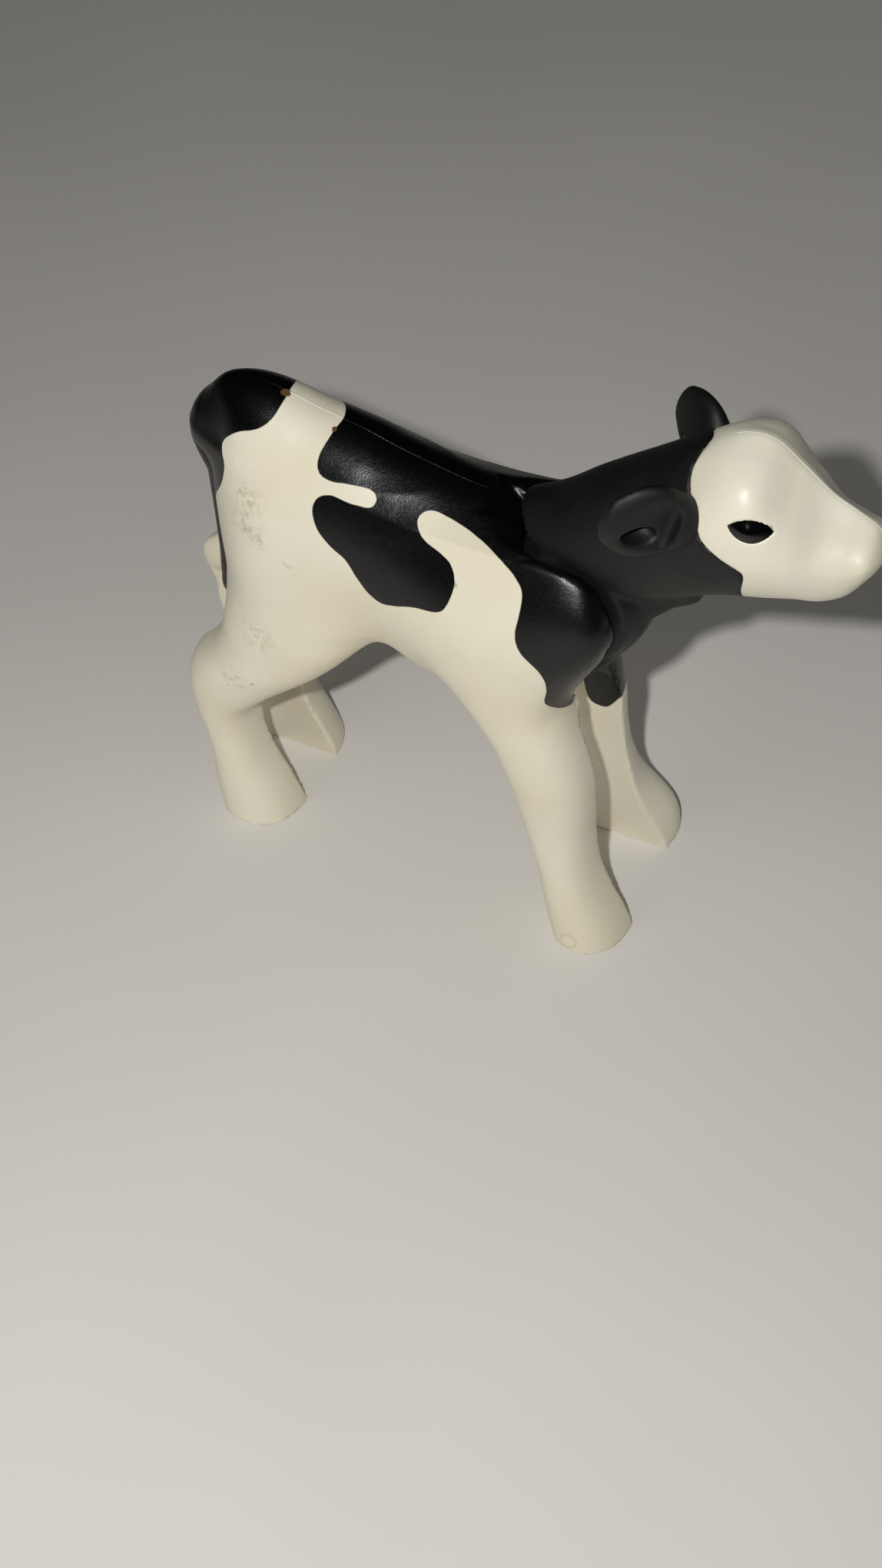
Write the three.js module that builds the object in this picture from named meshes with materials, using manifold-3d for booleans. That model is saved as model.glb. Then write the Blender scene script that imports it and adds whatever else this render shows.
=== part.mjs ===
// A toy calf, about 70 mm long and 61 mm tall, standing on four flat soles.
// Its body is moulded in a right and a left half, each with its two legs, which are joined
// on the upright plane y = 0. Between the shoulders a black neck swings up and down on a
// cross pin. The neck carries the head: a white face shell pushed over a black core,
// two eyes seen through almond openings in the shell, and two ears. A tail is held
// between the halves at the back. Lengths are in mm, +x runs to the nose, +y to the
// calf's left and +z up. The ground is z = 0. While the pieces are shaped, x = 0 is at the
// inner front corners of the hind hooves; at the end the calf is moved along x so that
// the origin lies under the middle of its box.
import * as THREE from 'three';
import { mergeVertices } from 'three/addons/utils/BufferGeometryUtils.js';
import Module from 'manifold-3d';

// Driving sizes of the body
const leg_height = 31;            // height over which a leg has its own outline
const rump_rise = 21.6;           // from there to the top of the rump
const back_height = leg_height + rump_rise;
const body_length = 42.8;         // rear of the thighs to the front of the shoulder
const body_rear_x = -7.6;         // where the thighs end, behind the origin
const body_half_width = 8.6;      // widest, at the shoulder
const crest_power = 2.5;          // how square the trunk is at most, 2 is an ellipse
const knob_drop = 6;              // top of the rump down to the knob above the tail
const tail_head = [-6.9, 0, back_height - knob_drop];
const tail_head_size = [2.5, 2.6, 3];   // half of its length, width and height
const skin_blend = 3;             // radius that runs the legs into the body
const knob_blend = 2;             // radius that runs the knob above the tail into it
const end_round = 1.5;            // and that rounds the ends of the trunk

// Driving sizes of the legs
const stride = 38;                // hind hoof to fore hoof, at their inner front corners
const hind_gap = 6.8;             // between the flat inner faces of the hind hooves
const fore_gap = 10.5;            // between the flat inner faces of the fore hooves
const hoof_width = 5.6;           // inner face to outer side
const leg_power = 2.3;            // how square a leg's outer side is
const leg_draft = 1;              // how much the inner faces close in up the leg
const sole_trim = 2;              // what is moulded below the sole and cut off flat
const hock_set_back = 6.6;        // how far the left hind hock stands behind the right one
const hock_spot_share = 0.84;     // height of that set back on the leg
const hock_spread_share = 0.17;   // and over how much of the leg's height
const shin_set_forward = 1.1;     // how far the left hind shin stands in front of the right one
const shin_spot_share = 0.38;
const shin_spread_share = 0.2;
const knee_set_back = 1.1;        // how far the left knee stands behind the right one
const knee_spot_share = 0.56;
const knee_spread_share = 0.22;
const toe_turn_share = 0.5;       // how much the left fore hoof is turned out
const toe_spot_share = 0.12;
const toe_spread_share = 0.13;
const toe_pivot = 1.35;           // the turn starts this far out from the inner face
const hind_arch_drop = 5;         // leg_height down to the top of the gap between the hind legs
const fore_arch_drop = 2.5;         // and between the fore legs
const hind_arch_z = leg_height - hind_arch_drop;
const fore_arch_z = leg_height - fore_arch_drop;
const hind_arch_end_share = 0.3;  // where the hind gap ends, along the stride
const arch_spacing = 7;           // from the hind gap to the fore gap

// Neck joint
const pivot_x = 29.5;
const pivot_drop = 13.1;          // top of the rump down to the pin
const pivot_z = back_height - pivot_drop;
const pin_radius = 1.5;
const pin_length = 13;
const root_radius = 7.1;          // round root of the neck, about the pin
const root_draft = 1.2;           // how much the root narrows towards its two sides
const root_half_width = 4.4;
const lobe_radius = 6.2;          // the wide neck starts this far from the pin
const keel_half_width = 2.6;      // narrow part under the neck, between the shoulders
const keel_reach = 10.9;          // how far the keel reaches from the pin
const swing_up = 8;               // degrees from the modelled pose
const swing_down = 38;
const swing_step = 8;             // degrees between the poses that the pocket is cut for
const withers_reach = 11;         // slot in the withers behind the neck, from the pin
const withers_half_width = 1.8;
const slot_turns = [-158, 30];    // degrees about the pin that the keel's slot covers
const withers_turns = [95, 137];
const keel_turn = 90;             // degrees that the keel's outline is a share of

// Head
const head_reach = 27;            // pin to the tip of the nose, along x
const head_rise = 21;             // pin to the poll, along z
const head_half_width = 6.5;
const face_wall = 1.3;            // thickness of the face shell
const eye_length = 3.7;
const eye_height = 1.95;
const eye_inset = 0.25;           // how far the eye lies under the shell's surface
const eye_clearance = 0.15;       // between the eye and its opening
const eye_tilt_share = 0.12;      // rise of the eye's front corner over its length
const eye_place_shares = [0.61, 0.785];
const ear_length = 7.2;
const ear_width = 7.6;
const ear_thickness = 3.4;
const ear_wall = 0.8;
const ear_aim = [-5.2, 4.4, 1.9]; // direction of the ear, out from the head
const ear_lean = 0.12;            // how far its upper edge leans forwards
const ear_place_shares = [0.385, 0.8, 0.71];
const left_ear_shift = [-0.1, 0, -1.5]; // the left ear sits lower than the right one
const ear_hollow_push = 1;        // how far the hollow lies towards the open side
const ear_peg_radius = 0.9;
const ear_peg_length = 3;

// Tail
const tail_drop = 6.1;            // top of the rump down to the top of the tail
const tail_top_z = back_height - tail_drop;
const tail_length = 22;
const tail_width = 3.2;           // across, at the root
const tail_depth = 3;             // front to back, at the root
const tail_peg_share = 0.17;      // how far down the tail its peg sits
const tail_peg_radius = 0.9;
const tail_peg_length = 4;

// Fits and fastening
const fit_gap = 0.3;              // between pieces that touch
const swing_gap = 0.4;            // between the neck and the body
const joint_gap = 0.3;            // between the two body halves
const post_radius = 1.6;
const post_length = 5;
const overrun = 5;                // how far a cutter runs past what it cuts

// Fineness of the surfaces
const body_step = 1.8;            // grid that the body's skin is drawn on
const weld_distance = 0.0001;
const slope_step_share = 0.02;
const slope_floor = 0.001;
const ring_sides = 26;
const rings_per_row = 1.6;
const pocket_ring_sides = 16;
const pocket_rings_per_row = 1;
const slot_sides = 24;
const round_sides = 28;
const root_bands = 3;
const arch_sides = 6;
const eye_arc_sides = 8;
const ear_sides = 16;
const ear_rings = 8;
const tail_sides = 12;
const tail_rings = 16;

// Posts of the right half, each in a hole of the left half: places as shares of body_length
// from its rear and of back_height
const post_place_shares = [
  [0.154, 0.817],
  [0.364, 0.665],
  [0.528, 0.779],
];

// Trunk along x: share of body_length, top and bottom as shares of back_height, half width
// as a share of body_half_width, squareness as a share of crest_power
const trunk_shares = [
  [0.000, 0.935, 0.500, 0.16, 0.95],
  [0.014, 0.960, 0.490, 0.24, 0.95],
  [0.030, 0.980, 0.482, 0.32, 0.95],
  [0.051, 0.994, 0.479, 0.42, 0.93],
  [0.075, 1.001, 0.480, 0.52, 0.90],
  [0.098, 1.004, 0.484, 0.61, 0.87],
  [0.122, 1.005, 0.488, 0.69, 0.83],
  [0.166, 1.001, 0.492, 0.78, 0.79],
  [0.213, 0.991, 0.496, 0.81, 0.78],
  [0.259, 0.980, 0.504, 0.82, 0.78],
  [0.327, 0.967, 0.520, 0.83, 0.79],
  [0.388, 0.955, 0.526, 0.84, 0.79],
  [0.440, 0.941, 0.510, 0.86, 0.79],
  [0.516, 0.925, 0.480, 0.90, 0.79],
  [0.633, 0.905, 0.460, 0.96, 0.80],
  [0.738, 0.900, 0.456, 1.00, 0.84],
  [0.832, 0.904, 0.490, 1.00, 0.92],
  [0.890, 0.889, 0.580, 0.97, 0.98],
  [0.930, 0.868, 0.635, 0.93, 1.02],
  [0.955, 0.838, 0.672, 0.88, 1.04],
  [0.971, 0.812, 0.700, 0.82, 1.04],
  [0.981, 0.786, 0.728, 0.76, 1.02],
];

// Hind leg up its height: share of leg_height, rear and front as shares of the stride,
// outer side as a share of hoof_width
const hind_shares = [
  [-0.07, -0.229, 0.007, 1.02],
  [0, -0.235, 0.004, 1.02],
  [0.11, -0.248, -0.030, 0.96],
  [0.23, -0.250, -0.082, 0.88],
  [0.35, -0.266, -0.110, 0.85],
  [0.45, -0.284, -0.104, 0.90],
  [0.57, -0.296, -0.012, 0.99],
  [0.645, -0.272, 0.060, 1.03],
  [0.72, -0.214, 0.128, 1.06],
  [0.79, -0.183, 0.182, 1.06],
  [0.87, -0.166, 0.230, 1.05],
  [0.93, -0.146, 0.250, 1.02],
  [1, -0.120, 0.266, 0.98],
  [1.16, -0.106, 0.262, 0.80],
  [1.32, -0.080, 0.230, 0.52],
  [1.46, -0.030, 0.170, 0.18],
];

// Fore leg up its height, in the same way
const fore_shares = [
  [-0.07, 0.796, 1.008, 1.03],
  [0, 0.792, 1.005, 1.03],
  [0.09, 0.772, 0.979, 0.97],
  [0.16, 0.760, 0.948, 0.92],
  [0.26, 0.742, 0.910, 0.84],
  [0.39, 0.708, 0.890, 0.79],
  [0.52, 0.676, 0.886, 0.82],
  [0.65, 0.640, 0.876, 0.87],
  [0.75, 0.605, 0.853, 0.88],
  [0.84, 0.560, 0.824, 0.88],
  [0.94, 0.510, 0.802, 0.87],
  [1.06, 0.458, 0.824, 0.84],
  [1.2, 0.450, 0.862, 0.77],
  [1.32, 0.470, 0.850, 0.48],
  [1.42, 0.540, 0.700, 0.10],
];

// Neck and head from the pin to the nose: top and bottom points in the plane y = 0 as shares
// of head_reach and head_rise from the pin, half width as a share of head_half_width, and
// how much of that width is lost towards the top
const head_shares = [
  [-0.205, 0.41, 0.16, -0.02, 0.68, 0],
  [-0.09, 0.49, 0.17, 0.06, 0.73, 0],
  [0.037, 0.618, 0.27, 0.1, 0.82, 0],
  [0.215, 0.78, 0.41, 0.18, 0.88, 0],
  [0.37, 0.917, 0.51, 0.24, 0.94, 0],
  [0.49, 1, 0.59, 0.28, 1, 0],
  [0.6, 1.005, 0.675, 0.31, 0.98, 0.02],
  [0.7, 0.918, 0.75, 0.33, 0.85, 0.22],
  [0.79, 0.825, 0.825, 0.335, 0.67, 0.46],
  [0.88, 0.765, 0.895, 0.39, 0.54, 0.5],
  [0.95, 0.72, 0.95, 0.5, 0.44, 0.45],
  [0.995, 0.65, 0.99, 0.57, 0.28, 0.25],
];
const pocket_rows = 5;            // how far along these the shoulders make room for
const core_from_row = 3.5;        // where the plug that holds the face begins

// Keel outline about the pin: share of keel_reach and share of keel_turn
const keel_shares = [
  [0.42, 0.50],
  [1.13, 0.232],
  [0.89, 0.132],
  [0.70, 0.00],
  [0.65, -0.16],
  [0.63, -0.38],
  [0.68, -0.58],
  [0.84, -0.84],
  [0.98, -1.00],
  [0.96, -1.14],
  [0.45, -1.30],
];

// Edge of the face shell on the side of the head, as shares of head_reach and head_rise
const face_edge_shares = [
  [0.441, 0.986],
  [0.400, 0.929],
  [0.385, 0.881],
  [0.400, 0.829],
  [0.426, 0.781],
  [0.444, 0.738],
  [0.467, 0.681],
  [0.533, 0.629],
  [0.589, 0.595],
  [0.609, 0.557],
  [0.596, 0.429],
  [0.585, 0.214],
];

// Ear from the head to its tip: share of ear_length, width and thickness as shares
const ear_from_share = -0.12;
const ear_hollow_from_share = 0.14;
const ear_hollow_to_share = 0.86;
const ear_shares = [
  [-0.12, 0.62, 1.00],
  [0.10, 0.80, 1.00],
  [0.35, 0.98, 0.88],
  [0.60, 0.94, 0.70],
  [0.82, 0.70, 0.52],
  [0.95, 0.42, 0.36],
  [1.00, 0.16, 0.16],
];

// Tail downwards: share of tail_length, how far its rear edge stands behind the rump and
// its depth as shares of tail_depth, with its half width as a share of tail_width between
const tail_shares = [
  [0.000, 0.667, 0.41, 0.90],
  [0.066, 0.767, 0.50, 1.00],
  [0.133, 0.667, 0.50, 1.00],
  [0.200, 0.517, 0.44, 0.90],
  [0.260, 0.400, 0.34, 0.78],
  [0.376, 0.383, 0.25, 0.70],
  [0.553, 0.380, 0.19, 0.78],
  [0.730, 0.385, 0.20, 0.84],
  [0.885, 0.440, 0.27, 1.00],
  [0.973, 0.430, 0.27, 0.95],
  [1.000, 0.300, 0.13, 0.50],
];

const wasm = await Module();
wasm.setup();

// Leaves a geometry only its points, each shared by all the faces that meet there.
function welded(geometry) {
  const bare = geometry.index ? geometry.toNonIndexed() : geometry.clone();
  for (const name of Object.keys(bare.attributes)) {
    if (name !== 'position') bare.deleteAttribute(name);
  }
  return mergeVertices(bare, weld_distance);
}

// Turns a closed geometry into a solid that can be cut and joined.
function solid(geometry, shared = false) {
  const merged = shared ? geometry : welded(geometry);
  const faces = new Uint32Array(merged.index.array);
  const make = () => new wasm.Manifold(new wasm.Mesh({
    numProp: 3,
    vertProperties: new Float32Array(merged.attributes.position.array),
    triVerts: faces,
  }));
  const made = make();
  if (made.volume() >= 0) return made;
  for (let i = 0; i < faces.length; i += 3) [faces[i], faces[i + 1]] = [faces[i + 1], faces[i]];
  return make();
}

// Turns a solid back into a geometry.
function geometryOf(body) {
  const mesh = body.getMesh();
  const points = new Float32Array(mesh.numVert * 3);
  for (let i = 0; i < mesh.numVert; i += 1) {
    points.set(mesh.vertProperties.subarray(i * mesh.numProp, i * mesh.numProp + 3), i * 3);
  }
  const geometry = new THREE.BufferGeometry();
  geometry.setAttribute('position', new THREE.BufferAttribute(points, 3));
  geometry.setIndex(new THREE.BufferAttribute(new Uint32Array(mesh.triVerts), 1));
  geometry.computeVertexNormals();
  return geometry;
}

// A smooth curve through a table of rows whose first column is the position.
function follow(rows) {
  const spots = rows.map((row) => row[0]);
  const values = rows.flatMap((row) => row.slice(1));
  const curve = new THREE.CubicInterpolant(spots, values, rows[0].length - 1);
  return (spot) => curve.evaluate(Math.min(Math.max(spot, spots[0]), spots[spots.length - 1]));
}

// How far a spot lies past the ends of a table, negative inside it.
function past(rows, spot) {
  return Math.max(rows[0][0] - spot, spot - rows[rows.length - 1][0]);
}

// Joins two distances with a rounded corner.
function blend(a, b, radius) {
  const h = Math.max(radius - Math.abs(a - b), 0) / radius;
  return Math.min(a, b) - h * h * radius / 4;
}

// Distance of a point from an oval section, negative inside.
function oval(u, v, half_u, half_v, power) {
  const reach = (Math.abs(u / half_u) ** power + Math.abs(v / half_v) ** power) ** (1 / power);
  return (reach - 1) * Math.min(half_u, half_v);
}

const trunkAt = follow(trunk_shares);
const hindAt = follow(hind_shares);
const foreAt = follow(fore_shares);

// The trunk, an oval section at each x, with a knob above the tail.
function trunk(x, y, z) {
  const spot = (x - body_rear_x) / body_length;
  const [top, bottom, side, squareness] = trunkAt(spot);
  const half_height = (top - bottom) * back_height / 2;
  const middle = (top + bottom) * back_height / 2;
  const power = squareness * crest_power;
  const section = oval(y, z - middle, side * body_half_width, half_height, power);
  const [u, v, w] = [x, y, z].map((place, k) => (place - tail_head[k]) / tail_head_size[k]);
  const knob = (Math.hypot(u, v, w) - 1) * tail_head_size[0];
  const closed = -blend(-section, -past(trunk_shares, spot) * body_length, end_round);
  return blend(closed, knob, knob_blend);
}

// A leg, a section at each z that is flat towards the other leg and round outside.
function leg(at, rows, gap, x, y, z) {
  const spot = z / leg_height;
  const [rear, front, outside] = at(spot);
  const inner = gap / 2 - leg_draft * THREE.MathUtils.clamp(spot, 0, 1);
  const out = Math.max(Math.abs(y) - inner, 0);
  const half_length = (front - rear) * stride / 2;
  const middle = (front + rear) * stride / 2;
  const section = oval(x - middle, out, half_length, outside * hoof_width, leg_power);
  return Math.max(section, past(rows, spot) * leg_height);
}

// The whole skin of the body, with the left hind leg bent more at its hock.
function skin(x, y, z) {
  const near_hock = Math.exp(-(((z / leg_height - hock_spot_share) / hock_spread_share) ** 2));
  const near_shin = Math.exp(-(((z / leg_height - shin_spot_share) / shin_spread_share) ** 2));
  const left = THREE.MathUtils.smoothstep(y, 0, hind_gap / 2);
  const hind_x = x + left * (hock_set_back * near_hock - shin_set_forward * near_shin);
  const hind = leg(hindAt, hind_shares, hind_gap, hind_x, y, z);
  const near_knee = Math.exp(-(((z / leg_height - knee_spot_share) / knee_spread_share) ** 2));
  const near_toe = Math.exp(-(((z / leg_height - toe_spot_share) / toe_spread_share) ** 2));
  const turned = toe_turn_share * near_toe * (fore_gap / 2 + toe_pivot - Math.abs(y));
  const fore_x = x + left * (knee_set_back * near_knee + turned);
  const fore = leg(foreAt, fore_shares, fore_gap, fore_x, y, z);
  return blend(blend(trunk(x, y, z), hind, skin_blend), fore, skin_blend);
}

// Fills a corner of each grid square whose inside corners lie across from each other, so
// that the surface never touches itself along a line.
function fillDiagonals(value, [nx, ny, nz]) {
  const hop = [ny * nz, nz, 1];
  let filled = 1;
  while (filled) {
    filled = 0;
    for (let i = 0; i < nx - 1; i += 1) {
      for (let j = 0; j < ny - 1; j += 1) {
        for (let k = 0; k < nz - 1; k += 1) {
          const here = i * hop[0] + j * hop[1] + k;
          for (const [u, v] of [[0, 1], [1, 2], [0, 2]]) {
            const square = [here, here + hop[u], here + hop[u] + hop[v], here + hop[v]];
            const inside = square.map((spot) => value[spot] < 0);
            if (inside[0] !== inside[2] || inside[1] !== inside[3]) continue;
            if (inside[0] === inside[1]) continue;
            const [a, b] = square.filter((_, n) => !inside[n]);
            value[value[a] < value[b] ? a : b] = -slope_floor;
            filled += 1;
          }
        }
      }
    }
  }
}

// Draws the surface where a field is zero: one point in each grid cell that it crosses,
// moved onto the surface, and a quad across each grid edge that it cuts.
function wrap(field, low, high, step) {
  const [nx, ny, nz] = [0, 1, 2].map((k) => Math.ceil((high[k] - low[k]) / step) + 1);
  const index = (i, j, k) => (i * ny + j) * nz + k;
  const place = (axis, n) => low[axis] + n * step;
  const value = new Float64Array(nx * ny * nz);
  for (let i = 0; i < nx; i += 1) {
    for (let j = 0; j < ny; j += 1) {
      for (let k = 0; k < nz; k += 1) {
        value[index(i, j, k)] = field(place(0, i), place(1, j), place(2, k));
      }
    }
  }
  fillDiagonals(value, [nx, ny, nz]);
  const corners = [0, 1, 2, 3, 4, 5, 6, 7].map((c) => [c & 1, (c >> 1) & 1, (c >> 2) & 1]);
  const edges = corners.flatMap((_, a) => [1, 2, 4].filter((bit) => !(a & bit))
    .map((bit) => [a, a | bit]));
  const points = [];
  const cellPoint = new Map();
  const settle = (point) => {
    const small = step * slope_step_share;
    const here = field(...point);
    const slope = [0, 1, 2].map((m) => {
      const moved = [...point];
      moved[m] += small;
      return (field(...moved) - here) / small;
    });
    const steepness = Math.max(Math.hypot(...slope), slope_floor);
    const travel = THREE.MathUtils.clamp(-here / steepness, -step / 3, step / 3);
    return point.map((p, m) => p + slope[m] / steepness * travel);
  };
  for (let i = 0; i < nx - 1; i += 1) {
    for (let j = 0; j < ny - 1; j += 1) {
      for (let k = 0; k < nz - 1; k += 1) {
        const at = corners.map(([a, b, c]) => value[index(i + a, j + b, k + c)]);
        const sum = [0, 0, 0];
        let hits = 0;
        for (const [a, b] of edges) {
          if ((at[a] < 0) === (at[b] < 0)) continue;
          const t = at[a] / (at[a] - at[b]);
          for (let m = 0; m < 3; m += 1) {
            sum[m] += corners[a][m] + t * (corners[b][m] - corners[a][m]);
          }
          hits += 1;
        }
        if (!hits) continue;
        cellPoint.set(index(i, j, k), points.length);
        points.push(settle([i, j, k].map((n, m) => place(m, n + sum[m] / hits))));
      }
    }
  }
  const triangles = [];
  const apart = (a, b) => Math.hypot(...points[a].map((p, m) => p - points[b][m]));
  for (let i = 1; i < nx - 1; i += 1) {
    for (let j = 1; j < ny - 1; j += 1) {
      for (let k = 1; k < nz - 1; k += 1) {
        const inside = value[index(i, j, k)] < 0;
        const sides = [
          [index(i + 1, j, k), [[0, -1, -1], [0, 0, -1], [0, 0, 0], [0, -1, 0]]],
          [index(i, j + 1, k), [[-1, 0, -1], [-1, 0, 0], [0, 0, 0], [0, 0, -1]]],
          [index(i, j, k + 1), [[-1, -1, 0], [0, -1, 0], [0, 0, 0], [-1, 0, 0]]],
        ];
        for (const [next, around] of sides) {
          if (inside === (value[next] < 0)) continue;
          const quad = around.map(([a, b, c]) => cellPoint.get(index(i + a, j + b, k + c)));
          if (!inside) quad.reverse();
          const [a, b, c, d] = quad;
          if (apart(a, c) < apart(b, d)) triangles.push(a, b, c, a, c, d);
          else triangles.push(a, b, d, b, c, d);
        }
      }
    }
  }
  const geometry = new THREE.BufferGeometry();
  geometry.setAttribute('position', new THREE.Float32BufferAttribute(points.flat(), 3));
  geometry.setIndex(triangles);
  return solid(geometry, true);
}

// A closed tube through rings of points, with flat ends.
function loft(rings) {
  const sides = rings[0].length;
  const points = rings.flat();
  const triangles = [];
  for (let r = 0; r < rings.length - 1; r += 1) {
    for (let s = 0; s < sides; s += 1) {
      const a = r * sides + s;
      const b = r * sides + ((s + 1) % sides);
      triangles.push(a, a + sides, b, b, a + sides, b + sides);
    }
  }
  const mean = (ring) => ring.reduce((sum, p) => sum.add(p), new THREE.Vector3())
    .divideScalar(ring.length);
  const first = points.length;
  points.push(mean(rings[0]), mean(rings[rings.length - 1]));
  const end = (rings.length - 1) * sides;
  for (let s = 0; s < sides; s += 1) {
    const next = (s + 1) % sides;
    triangles.push(first, s, next);
    triangles.push(first + 1, end + next, end + s);
  }
  const geometry = new THREE.BufferGeometry();
  const flat = points.flatMap((p) => [p.x, p.y, p.z]);
  geometry.setAttribute('position', new THREE.Float32BufferAttribute(flat, 3));
  geometry.setIndex(triangles);
  return solid(geometry);
}

// An oval ring of points about a centre, spanned by two half axes, narrower towards the
// end of the first one.
function ovalRing(centre, half_a, half_b, sides, narrowing = 0) {
  const ring = [];
  for (let s = 0; s < sides; s += 1) {
    const angle = (s / sides) * 2 * Math.PI;
    const kept = 1 - narrowing * Math.max(Math.cos(angle), 0) ** 2;
    ring.push(centre.clone().addScaledVector(half_a, Math.cos(angle))
      .addScaledVector(half_b, Math.sin(angle) * kept));
  }
  return ring;
}

// A box between two corners.
function block(low, high) {
  const size = high.map((h, k) => h - low[k]);
  const geometry = new THREE.BoxGeometry(...size);
  geometry.translate(...low.map((l, k) => l + size[k] / 2));
  return solid(geometry);
}

// A rod along y.
function crossRod(radius, from_y, to_y, x, z) {
  const geometry = new THREE.CylinderGeometry(radius, radius, to_y - from_y, round_sides);
  geometry.translate(x, (from_y + to_y) / 2, z);
  return solid(geometry);
}

// A side outline, points (x, z), pushed out between two values of y.
function plate(outline, from_y, to_y) {
  const shape = new THREE.Shape(outline.map(([x, z]) => new THREE.Vector2(x, z)));
  const settings = { depth: to_y - from_y, bevelEnabled: false };
  const geometry = new THREE.ExtrudeGeometry(shape, settings);
  geometry.rotateX(Math.PI / 2);
  geometry.translate(0, to_y, 0);
  return solid(geometry);
}

// Joins a list of solids.
function joined(list) {
  return list.reduce((sum, part) => sum.add(part));
}

const wide = body_half_width + overrun + fore_gap;
const far = stride + back_height;
const y_axis = new THREE.Vector3(0, 1, 0);

// The gap between a pair of legs: straight drafted sides under a round arch.
function legGap(gap, rear_x, front_x, arch_z) {
  const spring = gap / 2 - leg_draft * (arch_z / leg_height);
  const shape = new THREE.Shape();
  shape.moveTo(-gap / 2 - leg_draft * sole_trim / leg_height, -sole_trim);
  shape.lineTo(gap / 2 + leg_draft * sole_trim / leg_height, -sole_trim);
  shape.lineTo(spring, arch_z - spring);
  shape.absarc(0, arch_z - spring, spring, 0, Math.PI, false);
  shape.closePath();
  const settings = { depth: front_x - rear_x, bevelEnabled: false, curveSegments: arch_sides };
  const geometry = new THREE.ExtrudeGeometry(shape, settings);
  geometry.rotateX(Math.PI / 2);
  geometry.rotateZ(Math.PI / 2);
  geometry.translate(rear_x, 0, 0);
  return solid(geometry);
}

// Neck and head as rings from the pin to the nose, drawn in by an inset.
const headAt = follow(head_shares.map((row, n) => [n, ...row]));
function headForm(inset, from_row, to_row, per_row = rings_per_row, sides = ring_sides) {
  const rings = [];
  const count = Math.ceil((to_row - from_row) * per_row);
  for (let n = 0; n <= count; n += 1) {
    const row = headAt(from_row + (to_row - from_row) * n / count);
    const top = new THREE.Vector3(row[0] * head_reach, 0, row[1] * head_rise);
    const bottom = new THREE.Vector3(row[2] * head_reach, 0, row[3] * head_rise);
    const up = top.clone().sub(bottom).multiplyScalar(1 / 2);
    const centre = top.add(bottom).multiplyScalar(1 / 2);
    centre.add(new THREE.Vector3(pivot_x, 0, pivot_z));
    up.setLength(up.length() - inset);
    const side = y_axis.clone().multiplyScalar(row[4] * head_half_width - inset);
    rings.push(ovalRing(centre, up, side, sides, row[5]));
  }
  return loft(rings);
}

// The round root of the neck about the pin, drawn in towards its sides.
function neckRoot(grow) {
  const profile = [new THREE.Vector2(0, -root_half_width - grow)];
  for (let n = -root_bands; n <= root_bands; n += 1) {
    const share = n / root_bands;
    const radius = root_radius + grow - root_draft * share ** 2;
    profile.push(new THREE.Vector2(radius, share * (root_half_width + grow)));
  }
  profile.push(new THREE.Vector2(0, root_half_width + grow));
  const geometry = new THREE.LatheGeometry(profile, round_sides);
  geometry.translate(pivot_x, 0, pivot_z);
  return solid(geometry);
}

// The keel under the neck, a flat plate between the shoulders.
function neckKeel() {
  const outline = keel_shares.map(([reach, turn]) => {
    const radius = reach * keel_reach;
    const angle = THREE.MathUtils.degToRad(turn * keel_turn);
    return [pivot_x + radius * Math.cos(angle), pivot_z + radius * Math.sin(angle)];
  });
  return plate(outline, -keel_half_width, keel_half_width);
}

// Cuts the wide part of the neck off the round lobes of the shoulders, which it slides on.
function clearOfLobes(body, grow) {
  const rim = lobe_radius - grow;
  const side_y = root_half_width + grow;
  return body.subtract(crossRod(rim, side_y, wide, pivot_x, pivot_z))
    .subtract(crossRod(rim, -wide, -side_y, pivot_x, pivot_z));
}

// A slot about the pin between two angles.
function slot(reach, half_width, [from_turn, to_turn]) {
  const outline = [[pivot_x, pivot_z]];
  for (let n = 0; n <= slot_sides; n += 1) {
    const turn = THREE.MathUtils.degToRad(from_turn + (to_turn - from_turn) * n / slot_sides);
    outline.push([pivot_x + reach * Math.cos(turn), pivot_z + reach * Math.sin(turn)]);
  }
  return plate(outline, -half_width, half_width);
}

// The room between the shoulders that the neck and its keel swing in.
function neckPocket() {
  const keel_slot = slot(keel_reach + swing_gap, keel_half_width + swing_gap, slot_turns);
  const withers_slot = slot(withers_reach, withers_half_width, withers_turns);
  const neck = headForm(-swing_gap, 0, pocket_rows, pocket_rings_per_row, pocket_ring_sides);
  const cutter = clearOfLobes(neck, swing_gap);
  const rooms = [neckRoot(swing_gap), keel_slot, withers_slot];
  for (let angle = -swing_down; angle < swing_up + swing_step; angle += swing_step) {
    rooms.push(swung(cutter, Math.min(angle, swing_up)));
  }
  return joined(rooms);
}

// Turns a solid about the pin, nose up for a positive angle.
function swung(body, degrees) {
  return body.translate([-pivot_x, 0, -pivot_z]).rotate([0, -degrees, 0])
    .translate([pivot_x, 0, pivot_z]);
}

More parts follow.
